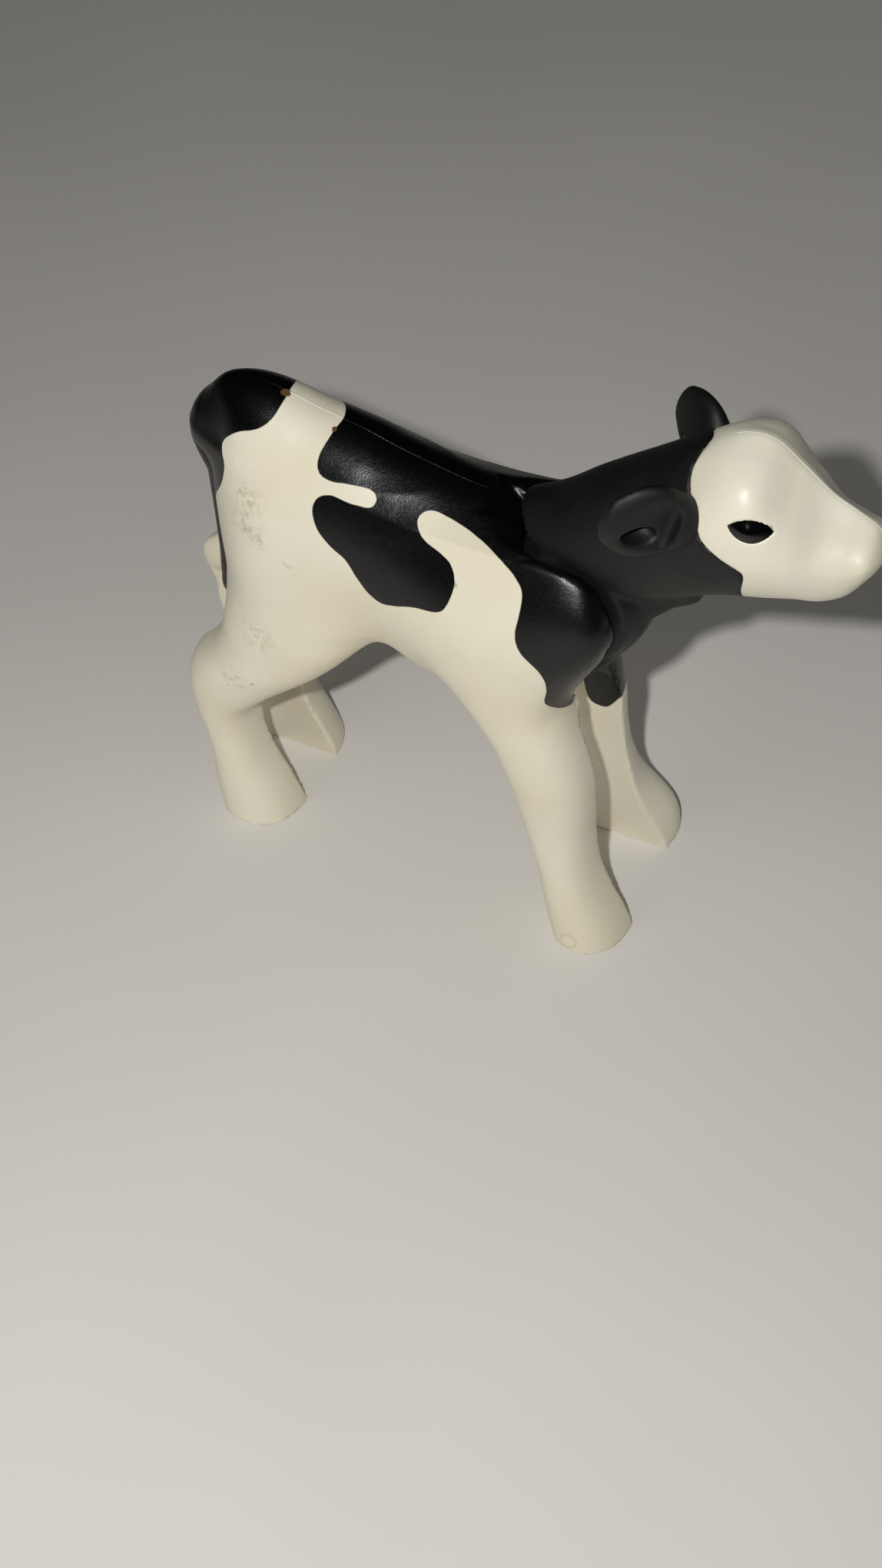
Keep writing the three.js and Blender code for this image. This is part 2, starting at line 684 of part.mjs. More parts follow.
// The tail, rings down the back of the rump, and its peg into the joint of the halves.
const tailAt = follow(tail_shares);
function tailForm(grow) {
  const rings = [];
  const first = tail_shares[0][0];
  const last = tail_shares[tail_shares.length - 1][0];
  for (let n = 0; n <= tail_rings; n += 1) {
    const spot = first + (last - first) * n / tail_rings;
    const [rear, half_width, depth] = tailAt(spot);
    const half_depth = new THREE.Vector3(depth * tail_depth / 2 + grow, 0, 0);
    const side = y_axis.clone().multiplyScalar(half_width * tail_width + grow);
    const rear_x = body_rear_x - rear * tail_depth;
    const centre = new THREE.Vector3(rear_x + depth * tail_depth / 2, 0,
      tail_top_z - spot * tail_length + (n === 0 ? grow : 0) - (n === tail_rings ? grow : 0));
    rings.push(ovalRing(centre, half_depth, side, tail_sides));
  }
  const geometry = new THREE.CylinderGeometry(tail_peg_radius + grow, tail_peg_radius + grow,
    tail_peg_length + grow, round_sides);
  geometry.rotateZ(Math.PI / 2);
  geometry.translate(body_rear_x + (tail_peg_length + grow) / 2, 0,
    tail_top_z - tail_peg_share * tail_length);
  return loft(rings).add(solid(geometry));
}

// Face outline on the side of the head, from the poll round to behind the jaw.
function faceCutter(grow) {
  const edge = face_edge_shares.map(([x, z]) => (
    [pivot_x + x * head_reach - grow, pivot_z + z * head_rise]));
  const far_x = pivot_x + head_reach + overrun;
  const low_z = edge[edge.length - 1][1] - overrun;
  const high_z = pivot_z + head_rise + overrun;
  const outline = [[edge[0][0], high_z], ...edge, [edge[edge.length - 1][0], low_z],
    [far_x, low_z], [far_x, high_z]];
  return plate(outline, -wide, wide);
}

// The almond opening of an eye, two arcs that meet in points, through one side.
function eyeCutter(side, grow) {
  const centre_x = pivot_x + eye_place_shares[0] * head_reach;
  const centre_z = pivot_z + eye_place_shares[1] * head_rise;
  const half = eye_length / 2 + grow;
  const rise = eye_height / 2 + grow;
  const outline = [];
  for (const way of [1, -1]) {
    for (let n = 0; n < eye_arc_sides; n += 1) {
      const u = way * (1 - 2 * n / eye_arc_sides);
      const tilt = eye_tilt_share * u * half;
      outline.push([centre_x + u * half, centre_z + tilt + way * rise * (1 - u * u)]);
    }
  }
  return side > 0 ? plate(outline, 0, wide) : plate(outline, -wide, 0);
}

// Places on an ear: its axis from the head to the tip, its width and its open side.
function earFrame(side) {
  const along = new THREE.Vector3(ear_aim[0], side * ear_aim[1], ear_aim[2]).normalize();
  const across = new THREE.Vector3(ear_lean, 0, 1);
  across.addScaledVector(along, -across.dot(along)).normalize();
  const open = new THREE.Vector3().crossVectors(along, across).multiplyScalar(side);
  const base = new THREE.Vector3(pivot_x + ear_place_shares[0] * head_reach,
    side * ear_place_shares[1] * head_half_width, pivot_z + ear_place_shares[2] * head_rise);
  if (side > 0) base.add(new THREE.Vector3(...left_ear_shift));
  return { along, across, open, base };
}

const earAt = follow(ear_shares);
function earForm(side, draw_in, push, from_share, to_share) {
  const { along, across, open, base } = earFrame(side);
  const rings = [];
  for (let n = 0; n <= ear_rings; n += 1) {
    const spot = from_share + (to_share - from_share) * n / ear_rings;
    const [width, thickness] = earAt(spot);
    const centre = base.clone().addScaledVector(along, spot * ear_length)
      .addScaledVector(open, push);
    const half_width = Math.max(width * ear_width / 2 - draw_in, ear_wall / 4);
    const half_thickness = Math.max(thickness * ear_thickness / 2 - draw_in, ear_wall / 4);
    rings.push(ovalRing(centre, across.clone().multiplyScalar(half_width),
      open.clone().multiplyScalar(half_thickness), ear_sides));
  }
  return loft(rings);
}

function earPeg(side, grow) {
  const { base } = earFrame(side);
  const out_y = side * (Math.abs(base.y) + ear_wall);
  const in_y = side * (Math.abs(base.y) - ear_peg_length - grow);
  return crossRod(ear_peg_radius + grow, Math.min(out_y, in_y), Math.max(out_y, in_y),
    base.x, base.z);
}

// The two body halves: legs parted, soles flat, room for the neck, its pin and the tail.
const half_grid = Math.ceil(wide / body_step) * body_step;
const skin_low = [-stride / 2, -half_grid, -sole_trim - overrun];
const skin_high = [body_rear_x + body_length + overrun, wide, back_height + overrun];
let body = wrap(skin, skin_low, skin_high, body_step);
body = body.subtract(block([-far, -wide, -far], [far, wide, 0]));
const hind_front_x = hind_arch_end_share * stride;
body = body.subtract(legGap(hind_gap, -far, hind_front_x, hind_arch_z));
body = body.subtract(legGap(fore_gap, hind_front_x + arch_spacing, far, fore_arch_z));
body = body.subtract(neckPocket());
const socket_radius = pin_radius + fit_gap;
const socket_y = pin_length / 2 + fit_gap;
body = body.subtract(crossRod(socket_radius, -socket_y, socket_y, pivot_x, pivot_z));
body = body.subtract(tailForm(fit_gap));

function postRods(radius, from_y, to_y) {
  return joined(post_place_shares.map(([x, z]) => (
    crossRod(radius, from_y, to_y, body_rear_x + x * body_length, z * back_height))));
}
const posts = postRods(post_radius, -post_length, post_length);
const holes = postRods(post_radius + fit_gap, -joint_gap, post_length + fit_gap);
const right_space = block([-far, -wide, -far], [far, -joint_gap / 2, far]);
const left_space = block([-far, joint_gap / 2, -far], [far, wide, far]);
const rightHalf = body.intersect(right_space).add(posts);
const leftHalf = body.intersect(left_space).subtract(holes);

// The head pieces, cut from one form.
const last_row = head_shares.length - 1;
const headSkin = headForm(0, 0, last_row);
const corePlug = headForm(face_wall + fit_gap, core_from_row, last_row - 1);
const coreRoom = headForm(face_wall, core_from_row, last_row - 1 + fit_gap / face_wall);
const pinBore = crossRod(socket_radius, -wide, wide, pivot_x, pivot_z);
let core = clearOfLobes(headSkin, 0).subtract(faceCutter(fit_gap)).add(corePlug);
core = joined([core, neckRoot(0), neckKeel()]);
core = core.subtract(pinBore).subtract(earPeg(1, fit_gap)).subtract(earPeg(-1, fit_gap));
const eyeOpenings = eyeCutter(1, 0).add(eyeCutter(-1, 0));
const face = headSkin.intersect(faceCutter(0)).subtract(coreRoom).subtract(eyeOpenings);
const eyeSkin = headForm(eye_inset, 0, last_row);
const eyes = [-1, 1].map((side) => (
  eyeCutter(side, -eye_clearance).intersect(eyeSkin).subtract(coreRoom)));
const earRest = headForm(-fit_gap, 0, last_row);
const ears = [-1, 1].map((side) => {
  const cup = earForm(side, 0, 0, ear_from_share, 1);
  const hollow = earForm(side, ear_wall, ear_hollow_push, ear_hollow_from_share, ear_hollow_to_share);
  return cup.subtract(hollow).subtract(earRest).add(earPeg(side, 0));
});

// Materials
const ivory = new THREE.MeshStandardMaterial({ color: 0xe6e1cf, roughness: 0.45 });
const black = new THREE.MeshStandardMaterial({ color: 0x1c1c20, roughness: 0.5 });
const glossy = new THREE.MeshStandardMaterial({ color: 0x0a0a0c, roughness: 0.12 });
const grey = new THREE.MeshStandardMaterial({ color: 0x8a8a88, roughness: 0.4 });

const calf = new THREE.Group();
function addPiece(name, form, material) {
  const mesh = new THREE.Mesh(geometryOf(form), material);
  mesh.name = name;
  calf.add(mesh);
}

addPiece('body_half_right', rightHalf, ivory);
addPiece('body_half_left', leftHalf, ivory);
addPiece('neck_pin', crossRod(pin_radius, -pin_length / 2, pin_length / 2, pivot_x, pivot_z), grey);
addPiece('neck_and_head_core', core, black);
addPiece('face_shell', face, ivory);
addPiece('eye_right', eyes[0], glossy);
addPiece('eye_left', eyes[1], glossy);
addPiece('ear_right', ears[0], black);
addPiece('ear_left', ears[1], black);
addPiece('tail', tailForm(0), black);

const extent = new THREE.Box3().setFromObject(calf);
calf.position.x = -(extent.min.x + extent.max.x) / 2;

export default calf;
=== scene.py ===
# %% [markdown]
# # A toy calf, dressed for the camera
# The real object is a small farm animal figure of hard moulded plastic. Its body is two
# half shells glued on the upright middle plane, printed with black patches. A black neck
# nods between the shoulders and carries a white face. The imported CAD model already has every
# piece at its true size and place. This lesson keeps that frame and gives each piece its
# smooth moulded skin, its printed patches and the small marks of play.

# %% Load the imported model
import math

import bpy
import numpy as np
from mathutils import Matrix, Vector


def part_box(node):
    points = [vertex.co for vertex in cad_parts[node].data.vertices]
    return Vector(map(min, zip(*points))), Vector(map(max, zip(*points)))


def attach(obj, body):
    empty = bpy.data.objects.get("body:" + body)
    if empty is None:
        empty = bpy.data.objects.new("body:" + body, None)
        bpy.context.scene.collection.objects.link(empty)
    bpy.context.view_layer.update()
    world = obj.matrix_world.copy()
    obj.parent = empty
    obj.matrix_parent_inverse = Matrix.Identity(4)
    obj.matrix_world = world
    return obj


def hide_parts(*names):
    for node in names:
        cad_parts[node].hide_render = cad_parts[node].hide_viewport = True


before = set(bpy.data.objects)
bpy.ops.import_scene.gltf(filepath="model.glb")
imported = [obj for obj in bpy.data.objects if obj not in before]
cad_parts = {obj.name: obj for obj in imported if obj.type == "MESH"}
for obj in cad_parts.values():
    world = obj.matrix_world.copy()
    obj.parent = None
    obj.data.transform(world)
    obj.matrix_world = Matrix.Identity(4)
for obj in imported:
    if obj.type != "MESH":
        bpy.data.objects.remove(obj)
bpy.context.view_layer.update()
for name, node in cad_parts.items():
    print("node", name, len(node.data.polygons), "faces")

# %% [markdown]
# ## Lengths
# The calf is shaped in millimetres, in the same places as the source of its CAD model: x = 0
# is at the inner front corners of the hind hooves. Blender works in metres from the middle of
# the calf's box. The pin of the neck is in both, so it gives the step from one to the other.

# %% Millimetres to metres
MM = 0.001
pivot_x = 29.5
pivot_z = 39.5
pin_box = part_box("neck_pin")
shift = Vector(((pin_box[0][0] + pin_box[1][0]) / 2 / MM - pivot_x, 0, 0))
print("the packed model is moved by", round(shift.x, 3), "mm along x")


def mm(x, y, z):
    """A place in millimetres, as Blender's metres."""
    return (Vector((x, y, z)) + shift) * MM


# %% [markdown]
# ## The camera
# The photograph was taken by hand from the right front and above, close to the toy, so the
# near hooves look larger than the far ones. A camera turned to the same angles, at the same
# distance and with the same field of view, gives that same perspective.

# %% Place the camera
camera_turn = 26.74
camera_height_angle = 48.52
camera_roll = -2.55
camera_place = (79.01, -128.10, 167.48)
photo_long_side = 2040
photo_focal_pixels = 2700
sensor_mm = 36

turn, lift = math.radians(camera_turn), math.radians(camera_height_angle)
back = Vector((math.sin(turn) * math.cos(lift), -math.cos(turn) * math.cos(lift), math.sin(lift)))
right = Vector((math.cos(turn), math.sin(turn), 0))
axes = Matrix((right, back.cross(right), back)).transposed()
camera_data = bpy.data.cameras.new("camera")
camera_data.sensor_width = sensor_mm
camera_data.lens = photo_focal_pixels * sensor_mm / photo_long_side
camera_data.clip_start = 0.01
camera = bpy.data.objects.new("camera", camera_data)
roll = Matrix.Rotation(math.radians(camera_roll), 3, "Z")
camera.matrix_world = Matrix.Translation(mm(*camera_place)) @ (axes @ roll).to_4x4()
bpy.context.scene.collection.objects.link(camera)
bpy.context.scene.camera = camera
print("lens", round(camera_data.lens, 2), "mm")

# %% [markdown]
# ## Smooth forms from fields
# A moulded animal has no flat sheets to start from: legs run into the belly, and the neck
# leaves a round pocket between the shoulders. Subdivision cages could do it, but the skin has
# to follow the CAD model's sizes closely. So the skin is written as a field: a number for
# each place that is negative inside, zero on the skin and positive outside. Fields are joined
# with a smaller-of, cut with a larger-of, and both can round the corner between two forms.

# %% Helpers for fields


def smaller(a, b, radius):
    """Joins two fields with a rounded inner corner."""
    h = np.maximum(radius - np.abs(a - b), 0) / radius
    return np.minimum(a, b) - h * h * radius / 4


def larger(a, b, radius):
    """Keeps what lies in both fields, with a rounded outer corner."""
    return -smaller(-a, -b, radius)


def follow(rows, samples=1200):
    """A smooth curve through rows whose first column is the place along it."""
    table = np.array(rows, float)
    spots, values = table[:, 0], table[:, 1:]
    secants = np.diff(values, axis=0) / np.diff(spots)[:, None]
    slopes = np.vstack([secants[:1], (secants[1:] + secants[:-1]) / 2, secants[-1:]])
    fine = np.linspace(spots[0], spots[-1], samples)
    n = np.clip(np.searchsorted(spots, fine, side="right") - 1, 0, len(spots) - 2)
    width = (spots[n + 1] - spots[n])[:, None]
    p = (fine - spots[n])[:, None] / width
    start, end = values[n], values[n + 1]
    curve = (start * (2 * p**3 - 3 * p**2 + 1) + end * (3 * p**2 - 2 * p**3)
             + width * slopes[n] * (p**3 - 2 * p**2 + p) + width * slopes[n + 1] * (p**3 - p**2))
    return lambda spot: [np.interp(spot, fine, column) for column in curve.T]


def oval(u, v, half_u, half_v, power):
    """Distance from an oval section, negative inside."""
    reach = (np.abs(u / half_u) ** power + np.abs(v / half_v) ** power) ** (1 / power)
    return (reach - 1) * np.minimum(half_u, half_v)


def past(rows, spot):
    """How far a spot lies past the ends of a table."""
    return np.maximum(rows[0][0] - spot, spot - rows[-1][0])


def wedge(x, z, from_turn, to_turn):
    """Distance from a sector about the neck pin, negative inside."""
    middle, half = math.radians(from_turn + to_turn) / 2, math.radians(to_turn - from_turn) / 2
    away = np.angle(np.exp(1j * (np.arctan2(z - pivot_z, x - pivot_x) - middle)))
    reach, quarter = np.hypot(x - pivot_x, z - pivot_z), math.pi / 2
    return reach * np.sin(np.clip(np.abs(away) - half, -quarter, quarter))


last_cell = 1.001  # keeps a place on the far edge of a grid inside its last cell


def read_grid(value, grid_x, grid_z, step, x, z):
    """Reads a number off a flat grid of x and z, between its points."""
    u = np.clip((x - grid_x[0]) / step, 0, len(grid_x) - last_cell)
    v = np.clip((z - grid_z[0]) / step, 0, len(grid_z) - last_cell)
    i, j = u.astype(int), v.astype(int)
    p, q = u - i, v - j
    return (value[i, j] * (1 - p) * (1 - q) + value[i + 1, j] * p * (1 - q)
            + value[i, j + 1] * (1 - p) * q + value[i + 1, j + 1] * p * q)


# %% [markdown]
# A field becomes a mesh with surface nets: a grid of small boxes, one point in each box that
# the skin passes through, and a four-sided face around each grid edge that it cuts. Each
# point then steps down the slope of the field until it lies on the skin itself.

# %% Field to mesh
skin_steps = 4  # how often each point steps towards the skin
least_slope = 0.2  # keeps a step short where a field is nearly flat


def net(field, low, high, step):
    """Points in millimetres and four-sided faces of the skin where a field is zero."""
    axes_mm = [np.arange(low[k], high[k] + step, step) for k in range(3)]
    value = field(*np.meshgrid(*axes_mm, indexing="ij"))
    inside = value < 0
    size = np.array(value.shape)
    corners = [(a, b, c) for a in (0, 1) for b in (0, 1) for c in (0, 1)]
    shown = {c: inside[c[0]:size[0] - 1 + c[0], c[1]:size[1] - 1 + c[1], c[2]:size[2] - 1 + c[2]]
             for c in corners}
    count = sum(part.astype(np.int8) for part in shown.values())
    cells = np.argwhere((count > 0) & (count < len(corners)))
    at = {c: value[tuple((cells + c).T)] for c in corners}
    total, hits = np.zeros(cells.shape), np.zeros(len(cells))
    for a in corners:
        for k in range(3):
            if a[k]:
                continue
            b = tuple(1 if m == k else a[m] for m in range(3))
            cut = (at[a] < 0) != (at[b] < 0)
            share = np.where(cut, at[a] / np.where(cut, at[a] - at[b], 1), 0)
            spot = np.array(a, float) + share[:, None] * (np.array(b) - np.array(a))
            total += np.where(cut[:, None], spot, 0)
            hits += cut
    points = np.array(low) + (cells + total / hits[:, None]) * step
    index = -np.ones(size - 1, int)
    index[tuple(cells.T)] = np.arange(len(cells))
    faces, unit_steps = [], np.eye(3, dtype=int)
    for k in range(3):
        u, v = unit_steps[(k + 1) % 3], unit_steps[(k + 2) % 3]
        here = np.take(inside, range(size[k] - 1), axis=k)
        ahead = np.take(inside, range(1, size[k]), axis=k)
        edges = np.argwhere(here != ahead)
        edges = edges[np.all((edges - u - v >= 0) & (edges < size - 1), axis=1)]
        quad = np.stack([index[tuple((edges - d).T)] for d in (u + v, v, 0 * u, u)], axis=1)
        flip = ~inside[tuple(edges.T)]
        quad[flip] = quad[flip][:, ::-1]
        faces.append(quad)
    for _ in range(skin_steps):
        points += step_to_skin(field, points, step)
    return points, np.concatenate(faces)


def slope_of(field, points, small=0.02):
    """The field at some points, and its slope there."""
    here = field(*points.T)
    moved = [field(*(points + small * np.eye(3)[k]).T) for k in range(3)]
    return here, np.stack([(m - here) / small for m in moved], axis=1)


def step_to_skin(field, points, step):
    """The way from each point to the skin, at most a third of a grid step."""
    here, slope = slope_of(field, points)
    steep = np.maximum(np.linalg.norm(slope, axis=1), least_slope)
    travel = np.clip(-here / steep, -step / 3, step / 3)
    return slope / steep[:, None] * travel[:, None]


def piece(name, points, faces, crisp_degrees=60):
    """A mesh object from points in millimetres, smooth but for edges that turn sharply."""
    mesh = bpy.data.meshes.new(name)
    places = (points + np.array(shift)) * MM
    mesh.from_pydata(places.tolist(), [], faces.tolist())
    mesh.validate()
    mesh.shade_smooth()
    mesh.set_sharp_from_angle(angle=math.radians(crisp_degrees))
    made = bpy.data.objects.new(name, mesh)
    bpy.context.scene.collection.objects.link(made)
    print(name, len(mesh.vertices), "points", len(mesh.polygons), "faces")
    return made


def meshed(name, field, low, high, step):
    """The object for a field inside a box of two corners."""
    return piece(name, *net(field, np.array(low), np.array(high), step))


def stand_for(made, node_name, body, finish):
    """Dresses a piece, lets it ride on its body and hides the CAD node that it stands for."""
    made.data.materials.clear()
    made.data.materials.append(finish)
    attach(made, body)
    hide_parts(node_name)


# %% [markdown]
# ## The skin of the body
# The trunk is an oval section at each place along x, wide and deep at the shoulder and
# narrow over the loin. Each leg is a section at each height, flat towards the other leg,
# because the two halves leave their mould that way, and round outside. The numbers are those
# of the CAD model, as shares of a few lengths, so both skins agree.

# %% Sizes of the body and legs
body_length, body_rear_x, back_height, body_half_width = 42.8, -7.6, 52.6, 8.6
crest_power = 2.5
tail_head, tail_head_size = (-6.9, 0, 46.6), (2.5, 2.6, 3)
skin_blend, knob_blend, end_round = 3, 2, 1.5
leg_height, stride = 31, 38
hind_gap, fore_gap, hoof_width = 6.8, 10.5, 5.6
leg_power, leg_draft = 2.3, 1
hock_set_back, hock_spot_share, hock_spread_share = 6.6, 0.84, 0.17
knee_set_back, knee_spot_share, knee_spread_share = 1.1, 0.56, 0.22
toe_turn, toe_pivot, toe_spot_share, toe_spread_share = 0.5, 1.35, 0.12, 0.13
shin_set_forward, shin_spot_share, shin_spread_share = 1.1, 0.38, 0.2
hind_arch_z, fore_arch_z = 26, 28.5
hind_arch_end_x, fore_arch_start_x = 11.4, 18.4

# share of body_length, top and bottom as shares of back_height, half width, squareness
trunk_rows = [
    (0.000, 0.935, 0.500, 0.16, 0.95), (0.014, 0.960, 0.490, 0.24, 0.95),
    (0.030, 0.980, 0.482, 0.32, 0.95), (0.051, 0.994, 0.479, 0.42, 0.93),
    (0.075, 1.001, 0.480, 0.52, 0.90), (0.098, 1.004, 0.484, 0.61, 0.87),
    (0.122, 1.005, 0.488, 0.69, 0.83), (0.166, 1.001, 0.492, 0.78, 0.79),
    (0.213, 0.991, 0.496, 0.81, 0.78), (0.259, 0.980, 0.504, 0.82, 0.78),
    (0.327, 0.967, 0.520, 0.83, 0.79), (0.388, 0.955, 0.526, 0.84, 0.79),
    (0.440, 0.941, 0.510, 0.86, 0.79), (0.516, 0.925, 0.480, 0.90, 0.79),
    (0.633, 0.905, 0.460, 0.96, 0.80), (0.738, 0.900, 0.456, 1.00, 0.84),
    (0.832, 0.904, 0.490, 1.00, 0.92), (0.890, 0.889, 0.580, 0.97, 0.98),
    (0.930, 0.868, 0.635, 0.93, 1.02), (0.955, 0.838, 0.672, 0.88, 1.04),
    (0.971, 0.812, 0.700, 0.82, 1.04), (0.981, 0.786, 0.728, 0.76, 1.02),
]
# share of leg_height, rear and front as shares of the stride, outer side of hoof_width
hind_rows = [
    (-0.07, -0.229, 0.007, 1.02), (0, -0.235, 0.004, 1.02), (0.11, -0.248, -0.030, 0.96),
    (0.23, -0.250, -0.082, 0.88), (0.35, -0.266, -0.110, 0.85), (0.45, -0.284, -0.104, 0.90),
    (0.57, -0.296, -0.012, 0.99), (0.645, -0.272, 0.060, 1.03), (0.72, -0.214, 0.128, 1.06),
    (0.79, -0.183, 0.182, 1.06), (0.87, -0.166, 0.230, 1.05), (0.93, -0.146, 0.250, 1.02),
    (1, -0.120, 0.266, 0.98), (1.16, -0.106, 0.262, 0.80), (1.32, -0.080, 0.230, 0.52),
    (1.46, -0.030, 0.170, 0.18),
]
fore_rows = [
    (-0.07, 0.796, 1.008, 1.03), (0, 0.792, 1.005, 1.03), (0.09, 0.772, 0.979, 0.97),
    (0.16, 0.760, 0.948, 0.92), (0.26, 0.742, 0.910, 0.84), (0.39, 0.708, 0.890, 0.79),
    (0.52, 0.676, 0.886, 0.82), (0.65, 0.640, 0.876, 0.87), (0.75, 0.605, 0.853, 0.88),
    (0.84, 0.560, 0.824, 0.88), (0.94, 0.510, 0.802, 0.87), (1.06, 0.458, 0.824, 0.84),
    (1.2, 0.450, 0.862, 0.77), (1.32, 0.470, 0.850, 0.48), (1.42, 0.540, 0.700, 0.10),
]
trunk_at, hind_at, fore_at = follow(trunk_rows), follow(hind_rows), follow(fore_rows)

# %% [markdown]
# The left hind hock stands further back than the right one, which is why a white bump shows
# beside the tail in the photograph. It is a smooth shift of the left leg about that height.
# The left shin, the left fore knee and the toe that turns in are shifts of the same kind.

# %% Field of the body


def trunk(x, y, z):
    """The oval trunk, closed at both ends, with the knob of the tail head."""
    spot = (x - body_rear_x) / body_length
    top, bottom, side, squareness = trunk_at(spot)
    half_height, middle = (top - bottom) * back_height / 2, (top + bottom) * back_height / 2
    section = oval(y, z - middle, side * body_half_width, half_height, squareness * crest_power)
    knob = np.sqrt(sum(((place - tail_head[k]) / tail_head_size[k]) ** 2
                       for k, place in enumerate((x, y, z))))
    closed = larger(section, past(trunk_rows, spot) * body_length, end_round)
    return smaller(closed, (knob - 1) * tail_head_size[0], knob_blend)


def leg(at, rows, gap, x, y, z):
    """A pair of legs, each flat on the side that faces the other."""
    spot = z / leg_height
    rear, front, outside = at(spot)
    inner = gap / 2 - leg_draft * np.clip(spot, 0, 1)
    out = np.maximum(np.abs(y) - inner, 0)
    half_length, middle = (front - rear) * stride / 2, (front + rear) * stride / 2
    section = oval(x - middle, out, half_length, outside * hoof_width, leg_power)
    return np.maximum(section, past(rows, spot) * leg_height)


def smooth_step(value):
    """0 below 0, 1 above 1 and a smooth rise between."""
    share = np.clip(value, 0, 1)
    return share * share * (3 - 2 * share)


def near_height(z, spot_share, spread_share):
    """1 at one height of a leg, fading above and below it."""
    return np.exp(-(((z / leg_height - spot_share) / spread_share) ** 2))


def skin(x, y, z):
    """The trunk and the four legs, before the rooms between them are cut."""
    left = smooth_step(y / (hind_gap / 2))
    hock_back = hock_set_back * near_height(z, hock_spot_share, hock_spread_share)
    shin_forward = shin_set_forward * near_height(z, shin_spot_share, shin_spread_share)
    hind_x = x + left * (hock_back - shin_forward)
    hind = leg(hind_at, hind_rows, hind_gap, hind_x, y, z)
    knee_back = knee_set_back * near_height(z, knee_spot_share, knee_spread_share)
    toe_twist = toe_turn * near_height(z, toe_spot_share, toe_spread_share)
    toe_back = toe_twist * (fore_gap / 2 + toe_pivot - np.abs(y))
    fore_x = x + left * (knee_back + toe_back)
    fore = leg(fore_at, fore_rows, fore_gap, fore_x, y, z)
    return smaller(smaller(trunk(x, y, z), hind, skin_blend), fore, skin_blend)


def leg_gap(gap, rear_x, front_x, arch_z, x, y, z):
    """The room between a pair of legs: drafted sides under a round arch."""
    spring = gap / 2 - leg_draft * arch_z / leg_height
    sides = np.abs(y) - (gap / 2 - leg_draft * z / leg_height)
    arch = np.hypot(y, z - (arch_z - spring)) - spring
    hole = np.where(z < arch_z - spring, sides, arch)
    return np.maximum(hole, np.maximum(rear_x - x, x - front_x))


# %% [markdown]
# ## The head and neck
# The neck and head are one long form, a row of oval sections that fan round from the pin to
# the nose. To get a field from them, each place in the upright middle plane is told which
# section it lies on. That is worked out once on a flat grid and then read off.

# %% Sizes of the head and neck
head_reach, head_rise, head_half_width = 27, 21, 6.5
root_radius, root_draft, root_half_width = 7.1, 1.2, 4.4
lobe_radius, keel_half_width, keel_reach = 6.2, 2.6, 10.9
swing_up, swing_down, swing_gap = 8, 38, 0.4
slot_turns, withers_turns = (-158, 30), (95, 137)
withers_reach, withers_half_width = 11, 1.8
face_wall = 1.3
# top and bottom points from the pin as shares of head_reach and head_rise, half width,
# and how much of that width is lost towards the top
head_rows = [
    (-0.205, 0.41, 0.16, -0.02, 0.68, 0), (-0.09, 0.49, 0.17, 0.06, 0.73, 0),
    (0.037, 0.618, 0.27, 0.1, 0.82, 0), (0.215, 0.78, 0.41, 0.18, 0.88, 0),
    (0.37, 0.917, 0.51, 0.24, 0.94, 0), (0.49, 1, 0.59, 0.28, 1, 0),
    (0.6, 1.005, 0.675, 0.31, 0.98, 0.02), (0.7, 0.918, 0.75, 0.33, 0.85, 0.22),
    (0.79, 0.825, 0.825, 0.335, 0.67, 0.46), (0.88, 0.765, 0.895, 0.39, 0.54, 0.5),
    (0.95, 0.72, 0.95, 0.5, 0.44, 0.45), (0.995, 0.65, 0.99, 0.57, 0.28, 0.25),
]
pocket_row, last_row = 5, len(head_rows) - 1
head_at = follow([(n, *row) for n, row in enumerate(head_rows)])

# %% Which section each place lies on
head_grid_step = 0.25
head_grid_x = np.arange(-12, 34, head_grid_step)
head_grid_z = np.arange(-14, 28, head_grid_step)


def section_ends(row):
    """Top and bottom points of a section, in millimetres from the pin, and its half width."""
    top_x, top_z, bottom_x, bottom_z, half, narrowing = head_at(row)
    return (top_x * head_reach, top_z * head_rise, bottom_x * head_reach, bottom_z * head_rise,
            half * head_half_width, narrowing)


def grid_of_rows(samples=600):
    """The section number over a flat grid: the nearest section line that passes each place.

    Being past an end of a line counts only a third as much as being beside it.
    """
    gx, gz = np.meshgrid(head_grid_x, head_grid_z, indexing="ij")
    best, found = np.full(gx.shape, np.inf), np.zeros(gx.shape)
    for row in np.linspace(0, last_row, samples):
        tx, tz, bx, bz, _, _ = section_ends(row)
        length = math.hypot(tx - bx, tz - bz)
        share = ((gx - bx) * (tx - bx) + (gz - bz) * (tz - bz)) / length**2
        beside = ((gx - bx) * (tz - bz) - (gz - bz) * (tx - bx)) / length
        beyond = np.maximum(np.abs(share - 1 / 2) - 1 / 2, 0) * length
        away = np.abs(beside) + beyond / 3
        closer = away < best
        best[closer], found[closer] = away[closer], row
    return found


row_grid = grid_of_rows()
print("sections are looked up on a grid of", row_grid.shape, "places")

# %% Field of the neck and head
row_end, far_inside = 0.01, -1e3  # how near an end a section counts as last, and a deep inside


